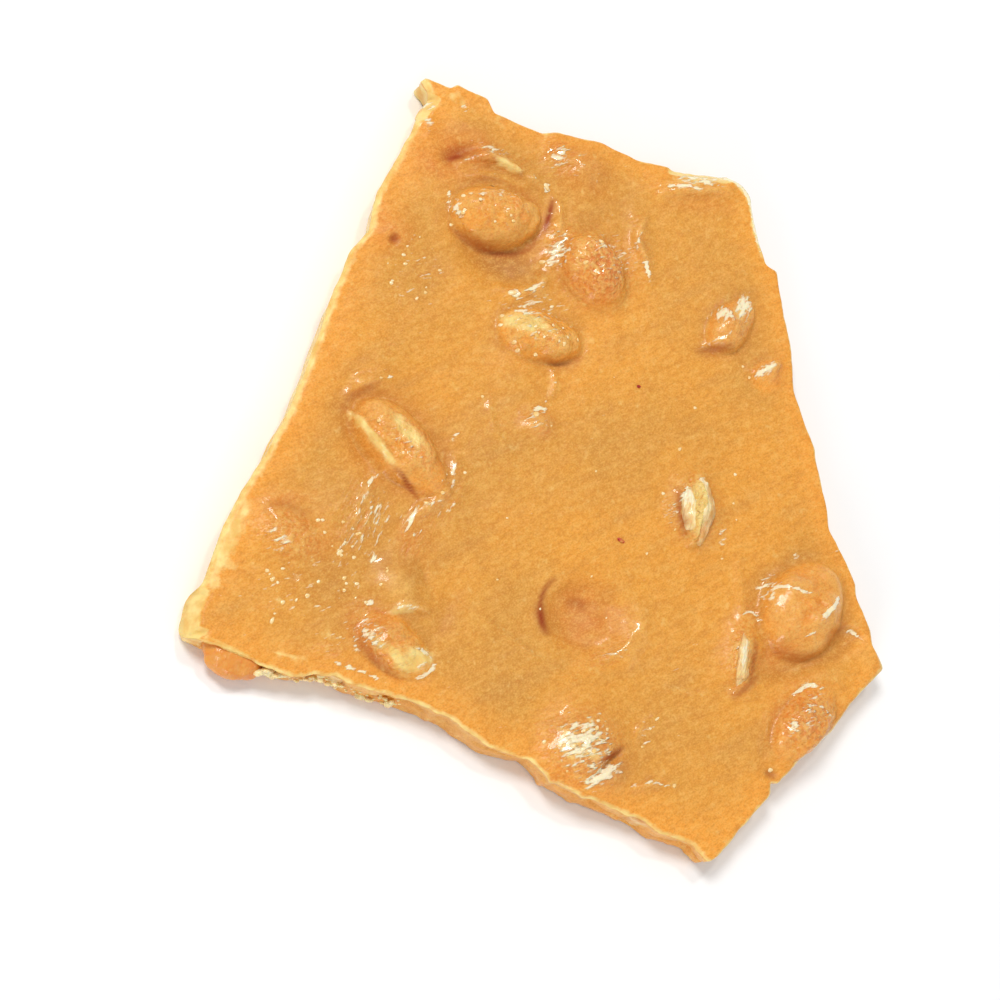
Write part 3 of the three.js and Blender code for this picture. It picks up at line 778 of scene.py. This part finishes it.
def cadOutline(name):
    # edges of the flat underside that only one face uses, followed end to end
    corners, picks = nodeMesh(name)
    places, same = np.unique(corners.round(3), axis=0, return_inverse=True)
    faces = same.ravel()[picks]
    under = faces[(places[faces][..., 2] < 0.01).all(1)]
    edges = np.vstack([under[:, [0, 1]], under[:, [1, 2]], under[:, [2, 0]]])
    both = {tuple(edge) for edge in edges}
    follow = {b: a for a, b in both if (b, a) not in both}  # the underside's own turn, taken backwards
    loop = [next(iter(follow))]
    while follow[loop[-1]] != loop[0]:
        loop.append(follow[loop[-1]])
    return places[loop][:, :2]


def resample(path, count):  # points at equal steps along a path
    run = np.append(0, np.cumsum(np.hypot(*np.diff(path, axis=0).T)))
    steps = np.linspace(0, run[-1], count)
    return np.stack([np.interp(steps, run, path[:, k]) for k in (0, 1)], -1)


def outwards(loop, reach=3):  # directions square to a closed loop, from points reach steps apart
    along = np.roll(loop, -reach, 0) - np.roll(loop, reach, 0)
    out = np.stack([along[:, 1], -along[:, 0]], -1)
    return out / np.linalg.norm(out, axis=1, keepdims=True)


def bySide(four):  # one number for each of the four sides, as a smooth run round the loop
    n, m = slabLook["across"] - 1, slabLook["along"] - 1
    run = np.repeat(four, (n, m, n, m))
    padded = np.concatenate([run[-12:], run, run[:12]])
    return np.convolve(padded, np.ones(25) / 25, "valid")


def slabEdge():
    # the outline as four sides of grid points, chipped a little along its length
    look = slabLook
    outline = cadOutline("slab")
    ends = [np.argmax(outline @ way) for way in ((-1, -1), (1, -1.2), (1, 1), (-1, 1))]
    outline = np.roll(outline, -ends[0], 0)
    ends = [(end - ends[0]) % len(outline) for end in ends] + [len(outline)]
    outline = np.vstack([outline, outline[:1]])
    counts = [look["across"], look["along"]] * 2
    sides = [resample(outline[a:b + 1], n)[:-1] for a, b, n in zip(ends, ends[1:], counts)]
    loop = np.vstack(sides)
    smooth = (np.roll(loop, 1, 0) + 2 * loop + np.roll(loop, -1, 0)) / 4
    chips = layeredNoise(onGround(*smooth.T), 2.6, 31, 3)
    return smooth + outwards(smooth) * (bySide(look["chips"]) * chips + bySide(look["overhang"]))[:, None]


def fillGrid(loop):
    # a Coons patch between the four sides, then settled so that its lines cross evenly:
    # each point moves to where a x_uu - 2 b x_uv + c x_vv = 0
    look = slabLook
    n, m = look["across"], look["along"]
    low, right, top, left = np.split(loop, np.cumsum([n - 1, m - 1, n - 1]))
    low = np.vstack([low, right[:1]])
    right = np.vstack([right, top[:1]])
    top = np.vstack([top, left[:1]])[::-1]
    left = np.vstack([left, loop[:1]])[::-1]
    u, v = np.linspace(0, 1, n)[None, :, None], np.linspace(0, 1, m)[:, None, None]
    grid = ((1 - v) * low + v * top + (1 - u) * left[:, None] + u * right[:, None]
            - (1 - u) * (1 - v) * low[0] - u * (1 - v) * low[-1] - (1 - u) * v * top[0] - u * v * top[-1])
    for _ in range(look["settle"]):
        du, dv = (grid[1:-1, 2:] - grid[1:-1, :-2]) / 2, (grid[2:, 1:-1] - grid[:-2, 1:-1]) / 2
        a, b, c = (dv * dv).sum(-1), (du * dv).sum(-1), (du * du).sum(-1)
        cross = grid[2:, 2:] - grid[2:, :-2] - grid[:-2, 2:] + grid[:-2, :-2]
        moved = (a[..., None] * (grid[1:-1, 2:] + grid[1:-1, :-2])
                 + c[..., None] * (grid[2:, 1:-1] + grid[:-2, 1:-1]) - b[..., None] / 2 * cross)
        grid[1:-1, 1:-1] = moved / (2 * (a + c))[..., None]
    return grid


def edgeDistances(grid):  # the way to each of the four sides along the grid's own lines
    low, left = [np.insert(np.cumsum(np.linalg.norm(np.diff(grid, axis=axis), axis=-1), axis), 0, 0, axis)
                 for axis in (0, 1)]
    return low, left[:, -1:] - left, low[-1:] - low, left


def slabWall(loop, upper):
    # rows of points from the upper edge down; each is moved along the outward direction by
    # slant * t - relief * |noise|, stepping back under the lip and round every nut in the break
    look = slabLook
    rows = look["wallRows"]
    out = outwards(loop, 6)
    t = (np.arange(1, rows + 1) / rows)[:, None]
    level = upper[None] * (1 - t)
    spot = np.concatenate([np.broadcast_to(loop, (rows, *loop.shape)), level[..., None]], -1)
    window = np.sin(np.pi * np.clip(t, 0, 1))**0.5
    scoops = look["scoopMiddle"] - np.abs(noiseAt(spot, look["scoops"], 41))
    scoops = scoops + look["scoopFine"] * noiseAt(spot, 1.6, 43)
    slant = look["wallSlant"] * layeredNoise(onGround(*loop.T), 14.0, 51, 2) * t
    lip = look["lip"] * smoothStep(0.08, 0.22, t) * (0.7 + 0.6 * noiseAt(spot, 5.0, 55))
    split = 0.5 + 0.3 * noiseAt(onGround(*loop.T), 11.0, 57)
    slit = look["slit"] * np.exp(-((t - split) / look["slitHigh"])**2)
    slit = slit * smoothStep(-0.1, 0.4, noiseAt(onGround(*loop.T), 8.0, 59))
    foot = (look["foot"] - bySide(look["overhang"])) * t
    shift = bySide(look["wallRelief"]) * scoops * window + slant - lip - slit + foot
    for nut in nuts.values():
        shift -= look["nutRoom"] * smoothStep(-0.5, 0.3, nutDepth(nut, spot))
    shift[-1] -= look["tuck"]
    level[-1] = 0
    places = loop[None] + out[None] * shift[..., None]
    return np.concatenate([places, level[..., None]], -1), t


def underside(grid):
    # the inner points of every few grid lines, lifted by shallow pits and flow marks
    step = slabLook["bottomStep"]
    inner = grid[step:-1:step, step:-1:step]
    spot = onGround(inner[..., 0], inner[..., 1])
    width, start, depth = slabLook["flowMarks"]
    lifted = np.clip(layeredNoise(spot, width, 61, 3) - start, 0, 1) * depth
    width, start, depth = slabLook["pits"]
    lifted = lifted + np.clip(noiseAt(spot, width, 65) - start, 0, 1) * depth
    return np.concatenate([inner, lifted[..., None]], -1)


def bottomFaces(loopNumbers, inner, first):
    # inner faces as a plain grid, and a border of faces that take in the finer edge
    n, m, step = slabLook["across"], slabLook["along"], slabLook["bottomStep"]
    rows, columns = inner.shape[:2]
    faces = [face[::-1] for face in gridFaces(rows, columns, first)]
    inside = first + np.arange(rows * columns).reshape(rows, columns)
    starts = np.cumsum([0, n - 1, m - 1, n - 1])
    rims = (inside[0], inside[:, -1], inside[-1, ::-1], inside[::-1, 0])
    total = len(loopNumbers)
    for start, rim in zip(starts, rims):
        for k in range(1, len(rim)):
            edge = [loopNumbers[(start + k * step + j) % total] for j in range(step + 1)]
            faces.append([rim[k - 1], rim[k]] + edge[::-1])
        corner = [loopNumbers[(start - step + j) % total] for j in range(2 * step + 1)]
        faces.append([rim[0]] + corner[::-1])
    return faces


def brokenEdge(x, y, z, ways):
    # the rim rounded by drop * (1 - sqrt(1 - s^2)), with s the share of the rim's width left to its
    # edge, the facets cut off it, and how much of each place is facet
    look = slabLook
    uneven = 1 + 0.5 * noiseAt(onGround(x, y), 4.0, 71)
    for way, rim, drop in zip(ways, look["rim"], look["rimDrop"]):
        share = np.clip(1 - way / (rim * uneven), 0, 1)
        z = z - drop * uneven * (1 - np.sqrt(1 - share**2))
    facet = np.zeros_like(z)
    for px, py, length, width, yaw, reach, drop in look["bevels"]:
        cut = smoothStep(1, 0.72, ovalShare(x, y, (px, py), (length, width), yaw))
        cut = cut * np.clip(1 - np.minimum.reduce(ways) / reach, 0, 1)
        z = z - drop * cut
        facet = np.maximum(facet, smoothStep(0, 0.12, cut))
    return z, facet


def topFinish(x, y, relief, ways, facet):
    # the upper face's finishes: those of the ovals and lines, and what its own shape adds to them: gloss
    # on the ridges, the rim's pale band with its painted highlight, pale facets, painted light on crests,
    # painted shade in hollows, and amber near the edge and over the nuts
    look = slabLook
    finish = finishAt(x, y)
    shine = np.maximum.reduce([pathShare(x, y, path, (2 * left, 2 * right))
                               for path, rise, left, right in look["ridges"] if rise > 0])
    glint = np.minimum(finish["glint"], 1)
    gloss = np.maximum.reduce([finish["wrinkle"], finish["pebble"], look["shine"] * shine, glint])
    # the rim gets a pale band that is partly a painted highlight along its rounded edge
    rims = zip(ways, look["rimPaleAndLit"], look["rimPaleAndLitWide"])
    paleLitRim = [strength * smoothStep(wide, 0, way) for way, strength, wide in rims]
    # crests get painted light and hollows painted shade, by how far the surface stands above or below its
    # surroundings
    crest, hollow = (smoothStep(*look["reliefSpan"], height) for height in (relief, -relief))
    nearEdge = smoothStep(look["thinReach"], 1, np.minimum.reduce(ways))
    covered = np.maximum.reduce([smoothStep(1.2, 0.8, domeOver(name, x, y)[1]) for name in filmed])
    return finish | {
        "gloss": gloss * (1 - finish["stain"].clip(0, 1)),
        "pale": np.maximum.reduce([*paleLitRim, facet, finish["pale"]]),
        "hollow": np.maximum(look["sunkShade"] * hollow, finish["hollow"]),
        "crest": crest,
        "amber": np.maximum(look["thin"] * nearEdge, look["overNuts"] * covered),
    }


def makeSlab():  # the upper face over the outline's grid, with the wall and the underside joined on
    look = slabLook
    loop = slabEdge()
    grid = fillGrid(loop)
    x, y = grid[..., 0], grid[..., 1]
    turn = np.cross(grid[:-1, 1:] - grid[:-1, :-1], grid[1:, :-1] - grid[:-1, :-1])
    print("slab grid: smallest cell", turn.min().round(4), "largest", turn.max().round(4))
    ways = edgeDistances(grid)
    z = topHeight(x, y)
    relief = z - blurred(z, look["reliefReach"])
    z, facet = brokenEdge(x, y, z, ways)
    numbers = np.arange(z.size).reshape(z.shape)
    ring = np.concatenate([numbers[0, :-1], numbers[:-1, -1], numbers[-1, :0:-1], numbers[:0:-1, 0]])
    wall, t = slabWall(loop, z.ravel()[ring])
    wallNumbers = z.size + np.arange(wall[..., 0].size).reshape(len(wall), -1)
    rowsDown = np.vstack([ring[None], wallNumbers])
    beside = np.roll(rowsDown, -1, 1)
    wallFaces = np.stack([rowsDown[:-1], rowsDown[1:], beside[1:], beside[:-1]], -1).reshape(-1, 4)
    inner = underside(grid)
    firstInner = wallNumbers[-1, -1] + 1
    faces = [*gridFaces(*z.shape), *wallFaces, *bottomFaces(wallNumbers[-1], inner, firstInner)]
    top = np.stack([x, y, z], -1)
    points = np.vstack([part.reshape(-1, 3) for part in (top, wall, inner)])
    onWall = {
        "pale": smoothStep(0.04, 0.2, t) * bySide(look["wallPale"]),
        # painted light on the upper part of the wall, fading downwards
        "gloss": look["wallGloss"], "crest": smoothStep(0.5, 0.05, t), "amber": look["wallAmber"],
    }
    values = {}
    for key, onTop in topFinish(x, y, relief, ways, facet).items():
        values[key] = np.zeros(len(points))
        values[key][:z.size] = onTop.ravel()
        values[key][wallNumbers] = onWall.get(key, 0)
    return addPiece("toffeeSlab", points, faces, toffee, ["slab"], values)


makeSlab()


# ---- the peanuts

nutRings, nutSpokes = 60, 80  # of a nut's grid
# the crest share is painted light over the nuts
nutTone = {"amber": 0.75, "crest": 0.3, "gloss": 0.5}  # all over the nuts that toffee covers


def makeNut(name, nut, look):
    # rings of points from one end to the other: the distance out along each direction is the nearest
    # face plane met, eased over its neighbours, less the grooves and plus lumps
    down, turn, ball, faces = ballGrid(nutRings, nutSpokes)
    direction = ball * nut["half"] @ nut["axes"]
    direction /= np.linalg.norm(direction, axis=-1, keepdims=True)
    facing = direction @ nut["facing"].T
    out = np.where(facing > 1e-3, nut["out"] / np.maximum(facing, 1e-3), 1e9).min(-1)
    for _ in range(look.get("ease", 16)):
        rings = out[1:-1].reshape(-1, nutSpokes)
        padded = np.vstack([out[0] + 0 * rings[:1], rings, out[-1] + 0 * rings[:1]])
        beside = padded[:-2] + padded[2:] + np.roll(rings, 1, 1) + np.roll(rings, -1, 1)
        eased = (2 * rings + beside) / 6
        out = np.concatenate([[eased[0].mean()], eased.ravel(), [eased[-1].mean()]])
    out = out + look.get("grow", 0) + nutLumps(nut["middle"] + direction * out[:, None], name)
    for angle, depth, width, start, end in look.get("grooves", []):
        swing = np.angle(np.exp(1j * (turn - np.radians(angle)))) * out * np.sin(down)
        place = np.cos(down)
        window = smoothStep(start - 0.1, start + 0.1, place) * smoothStep(end + 0.1, end - 0.1, place)
        out = out - depth * np.exp(-(swing / width)**2) * np.sin(down) * window
    points = nut["middle"] + direction * out[:, None]
    finish = finishAt(points[:, 0], points[:, 1])
    gloss = np.maximum(nutTone["gloss"], np.minimum(finish["glint"], 1))
    values = {**finish, "amber": 0 * out + nutTone["amber"], "crest": 0 * out + nutTone["crest"],
              "gloss": gloss * (1 - finish["stain"].clip(0, 1)),
              "wrinkle": np.maximum(look["wrinkle"], finish["wrinkle"]),
              "warm": np.maximum(look.get("warm", 0), finish["warm"]),
              "pale": np.maximum(look.get("pale", 0), finish["pale"])}
    material = {"bare": bareNut, "glazed": glazedNut}.get(look.get("finish"), toffee)
    return addPiece("nut_" + name[-2:], points, faces, material, [name], values)


for name, nut in nuts.items():
    makeNut(name, nut, nutLook[name])


# ---- bubbles in the toffee's skin, crumbs on the broken edge, flecks of peanut skin

bubbleLook = {
    "grid": (7, 10),  # rings and spokes of each
    "rise": 0.3, "sink": 0.1,  # height above the skin and depth below it, as shares of the width
    "vary": 0.25, "longer": (1, 1.8), "yaws": (0, 60),  # how unlike the scattered ones are
    "dots": [  # single ones: place, length, width and yaw
        (-38.2, -22.6, 0.8, 0.7, 20), (-41.8, -23.8, 0.8, 0.7, 30), (-43.3, -26.5, 1.1, 0.6, 65),
        (-44.2, -19.4, 0.7, 0.6, 0), (-42.6, -21, 0.5, 0.5, 0), (-36.9, -11.6, 0.8, 0.6, 20),
        (-36.2, -11.5, 0.6, 0.5, 0), (-29.4, -22.9, 0.6, 0.5, 0), (-32.7, -19.6, 0.8, 0.6, 40),
        (-32.7, -21.4, 0.6, 0.6, 0), (-32.4, -20.4, 0.5, 0.5, 0), (30.3, 1.4, 0.6, 0.5, 0),
        (23.5, 11.2, 0.6, 0.5, 0), (-3.1, 7.4, 1.1, 0.9, 20), (-24.2, 29.7, 0.7, 0.5, 0),
        (-26, 25.2, 0.7, 0.6, 0), (-20.6, 24.4, 0.6, 0.5, 0), (-16.6, 35.4, 0.6, 0.5, 0),
        (-6.7, 26, 1.6, 0.9, 10), (-1, 43.5, 1.4, 0.8, -60), (4.2, 31.3, 0.8, 0.6, 20),
        (6.9, 35, 0.9, 0.8, 0), (5.2, 35.8, 0.7, 0.5, 40), (1.3, 19.3, 0.7, 0.7, 0),
        (0.6, 17.9, 0.5, 0.5, 0), (-0.4, 18.3, 0.5, 0.5, 0), (-6.2, 16.8, 0.7, 0.5, -20),
        (-0.2, 24.6, 0.8, 0.5, 30), (-1.6, 31.6, 0.9, 0.7, 0), (-8.8, 20.6, 0.7, 0.6, 0),
        (-8.4, 22.2, 0.8, 0.5, 40), (-7, 17.8, 0.7, 0.6, -30), (-3.4, 16.4, 0.7, 0.5, -10),
        (2.6, 21.6, 0.6, 0.5, 0), (3.4, 19.4, 0.6, 0.5, 60), (-15.4, 39.6, 0.7, 0.6, 70),
        (-15.6, 36.8, 0.8, 0.6, 80), (17.8, -2.8, 0.6, 0.5, 0), (35.1, -43.8, 0.8, 0.7, 0),
        (19, -46.9, 0.8, 0.6, 40), (31.7, 18.5, 0.5, 0.5, 0), (32.8, 16.9, 0.5, 0.5, 0),
        (-10.2, 42.2, 0.7, 0.5, 20), (-13.4, 38.6, 0.6, 0.5, 0), (13.9, -41.4, 0.5, 0.4, 0),
        (15.3, -38.6, 0.5, 0.4, 0), (16.4, -37.1, 0.9, 0.4, 40), (-14.2, -2.4, 0.6, 0.5, 0),
        (-17.9, -5.9, 0.7, 0.6, 0), (-20.3, -7.5, 0.8, 0.6, 0), (-28.6, 3.4, 0.6, 0.5, 0),
        (-27.4, 10.6, 0.6, 0.4, 0),
    ],
    "patches": [  # scattered small ones: place, length and width of the patch, how many, and their width
        (-36, -20, 22, 18, 16, 0.4), (-22, 27, 10, 12, 8, 0.4), (10, 0, 56, 50, 18, 0.35),
        (-32, -14, 5, 6, 10, 0.45), (-2, 20, 12, 5, 8, 0.4), (-10, 38, 13, 7, 8, 0.4),
        (4, -42, 12, 9, 12, 0.5),
    ],
}
crumbLook = {  # along the lower left of the break: path, its height, how many, and their size
    "paths": [
        ([(-45.4, -33), (-43, -33.8), (-40, -33.8)], 3.2, 22, 0.8),
        ([(-39.6, -34), (-37, -33.7), (-34.6, -34)], 2.6, 24, 0.7),
        ([(-34, -34.4), (-29, -35.6), (-23, -36.8)], 2.4, 34, 0.55),
    ],
    "grid": (9, 12), "lumps": 0.6, "shape": (1.3, 0.9, 0.8),
    "astray": 0.25, "levels": 0.7, "vary": 0.3,  # how widely they lie, and how unlike their sizes are
}


def surfaceAt(x, y):  # the slab's upper face, or a nut that stands above it
    height = topHeight(x, y)
    for name in filmed:
        dome, share = domeOver(name, x, y)
        height = np.where(share < 1, np.maximum(height, dome), height)
    return height


def joinedBalls(rings, spokes, count):
    # the points of one ball, and the faces of that many, numbered one ball after another
    ball, faces = ballGrid(rings, spokes)[2:]
    starts = np.arange(count) * len(ball)
    return ball, [[corner + first for corner in face] for first in starts for face in faces]


def makeBubbles():
    # low ovals: a point (u, v, w) of the ball goes length / 2 * u along and width / 2 * v across the
    # surface, blunter at one end, and up from it by rise * width * w
    look = bubbleLook
    chance = np.random.default_rng(7)
    rows = [np.array(look["dots"])]
    for x, y, length, width, count, wide in look["patches"]:
        away, bearing = np.sqrt(chance.random(count)) / 2, chance.random(count) * 2 * np.pi
        size = wide * np.exp(chance.normal(0, look["vary"], count))
        px, py = x + away * np.cos(bearing) * length, y + away * np.sin(bearing) * width
        longer, yaw = chance.uniform(*look["longer"], count), chance.uniform(*look["yaws"], count)
        rows.append(np.stack([px, py, size * longer, size, yaw], -1))
    x, y, long, wide, yaw = np.vstack(rows).T[..., None]
    ball, faces = joinedBalls(*look["grid"], len(x))
    u, v, w = ball.T
    px, py = spun(u * long / 2, v * wide / 2 * (1 - 0.25 * u), yaw)
    lift = wide * np.where(w > 0, look["rise"] * w, look["sink"] * w)
    points = np.stack([x + px, y + py, surfaceAt(x + px, y + py) + lift], -1)
    return addPiece("skinBubbles", points.reshape(-1, 3), faces, bubble)


def makeCrumbs():
    # small lumps of broken nut: a ball of the given size, moved outwards by lumps * noise
    look = crumbLook
    chance = np.random.default_rng(11)
    rows = []
    for path, level, count, size in look["paths"]:
        path = resample(smoothPath(path), count)
        place = path + chance.normal(0, look["astray"], path.shape)
        height = level + chance.normal(0, look["levels"], count)
        rows.append(np.column_stack([place, height, size * np.exp(chance.normal(0, look["vary"], count))]))
    x, y, z, size = np.vstack(rows).T[..., None]
    ball, faces = joinedBalls(*look["grid"], len(x))
    places = np.stack([x, y, z], -1)
    rough = layeredNoise(places + ball * size[..., None] / 2, 0.7, 91, 2)
    out = size / 2 * (1 + look["lumps"] * rough)
    points = (places + ball * out[..., None] * look["shape"]).reshape(-1, 3)
    tone = {"warm": 0, "stain": 0, "glint": 0, "pale": 0.75, "wrinkle": 0.5}
    values = {key: np.full(len(points), number) for key, number in tone.items()}
    return addPiece("edgeCrumbs", points, faces, bareNut, values=values)


fleckLook = {
    "shreds": [(10.7, -10.6, 1.3, 0.6, -25), (13.9, 13.5, 0.7, 0.5, 0)],  # place, length, width and yaw
    "lift": 0.15, "rise": 0.16,  # of their middle above the skin, and of their upper side above that
    "grid": (7, 10),
}


def makeFlecks():
    # shreds of red skin lying in the toffee: thin ovals as long and wide as given
    x, y, long, wide, yaw = np.array(fleckLook["shreds"]).T[..., None]
    ball, faces = joinedBalls(*fleckLook["grid"], len(x))
    u, v, w = ball.T
    px, py = spun(u * long / 2, v * wide / 2, yaw)
    lift = fleckLook["lift"] + fleckLook["rise"] * w
    points = np.stack([x + px, y + py, surfaceAt(x + px, y + py) + lift], -1).reshape(-1, 3)
    values = {key: np.zeros(len(points)) for key in ("warm", "stain", "pale", "wrinkle", "glint")}
    return addPiece("skinFlecks", points, faces, redSkin, values=values)


makeBubbles()
makeCrumbs()
makeFlecks()


# ---- room, light and camera

roomLook = {
    "floor": paint(252, 252, 252), "sky": 0.44,
    "key": {"from": (-0.38, 0.37, 0.85), "distance": 1.0, "size": 0.3, "power": 4.8},
    "glint": {"from": (0.1, 0.46, 0.87), "distance": 1.0, "size": 0.1, "power": 1.4},
    "fill": {"from": (0.7, -0.3, 0.6), "distance": 0.7, "size": 0.5, "power": 0.4},
    "low": {"from": (-0.3, -0.9, 0.3), "distance": 0.7, "size": 0.3, "power": 1.3},
    # the camera: the point it looks at, the way back to it, and its lens, film and distance
    "middle": (-6.48, -4.71, 0), "back": (-0.36465, -0.22587, 0.90334),
    "lens": 100, "film": 36, "distance": 414.6,
}


def addLight(name, spec):
    lamp = bpy.data.lights.new(name, "AREA")
    lamp.shape, lamp.size, lamp.energy = "DISK", spec["size"], spec["power"]
    light = bpy.data.objects.new(name, lamp)
    way = Vector(spec["from"]).normalized()
    light.location = way * spec["distance"]
    light.rotation_euler = way.to_track_quat("Z", "Y").to_euler()
    bpy.context.scene.collection.objects.link(light)


def makeRoom():
    look = roomLook
    size = 1.5
    mesh = bpy.data.meshes.new("floor")
    corners = [(-size, -size, 0), (size, -size, 0), (size, size, 0), (-size, size, 0)]
    mesh.from_pydata(corners, [], [(0, 1, 2, 3)])
    mesh.materials.append(Board("paleFloor").finish(Base_Color=look["floor"], Roughness=0.8))
    floor = bpy.data.objects.new("floor", mesh)
    floor.location.z = -0.1 * mm
    bpy.context.scene.collection.objects.link(floor)
    for name in ("key", "glint", "fill", "low"):
        addLight(name, look[name])
    world = bpy.data.worlds.new("studio")
    world.use_nodes = True
    world.node_tree.nodes["Background"].inputs["Color"].default_value = (1, 1, 1, 1)
    world.node_tree.nodes["Background"].inputs["Strength"].default_value = look["sky"]
    bpy.context.scene.world = world
    bpy.context.scene.view_settings.view_transform = "Standard"


def makeCamera():
    look = roomLook
    camera = bpy.data.cameras.new("camera")
    camera.lens, camera.sensor_width = look["lens"], look["film"]
    camera.clip_start = 0.01
    holder = bpy.data.objects.new("camera", camera)
    back = Vector(look["back"]).normalized()
    right = Vector((0, 1, 0)).cross(back).normalized()
    turn = Matrix((right, back.cross(right), back)).transposed()
    place = (Vector(look["middle"]) + back * look["distance"]) * mm
    holder.matrix_world = Matrix.Translation(place) @ turn.to_4x4()
    bpy.context.scene.collection.objects.link(holder)
    bpy.context.scene.camera = holder


makeRoom()
makeCamera()
print("room, lights and camera made")
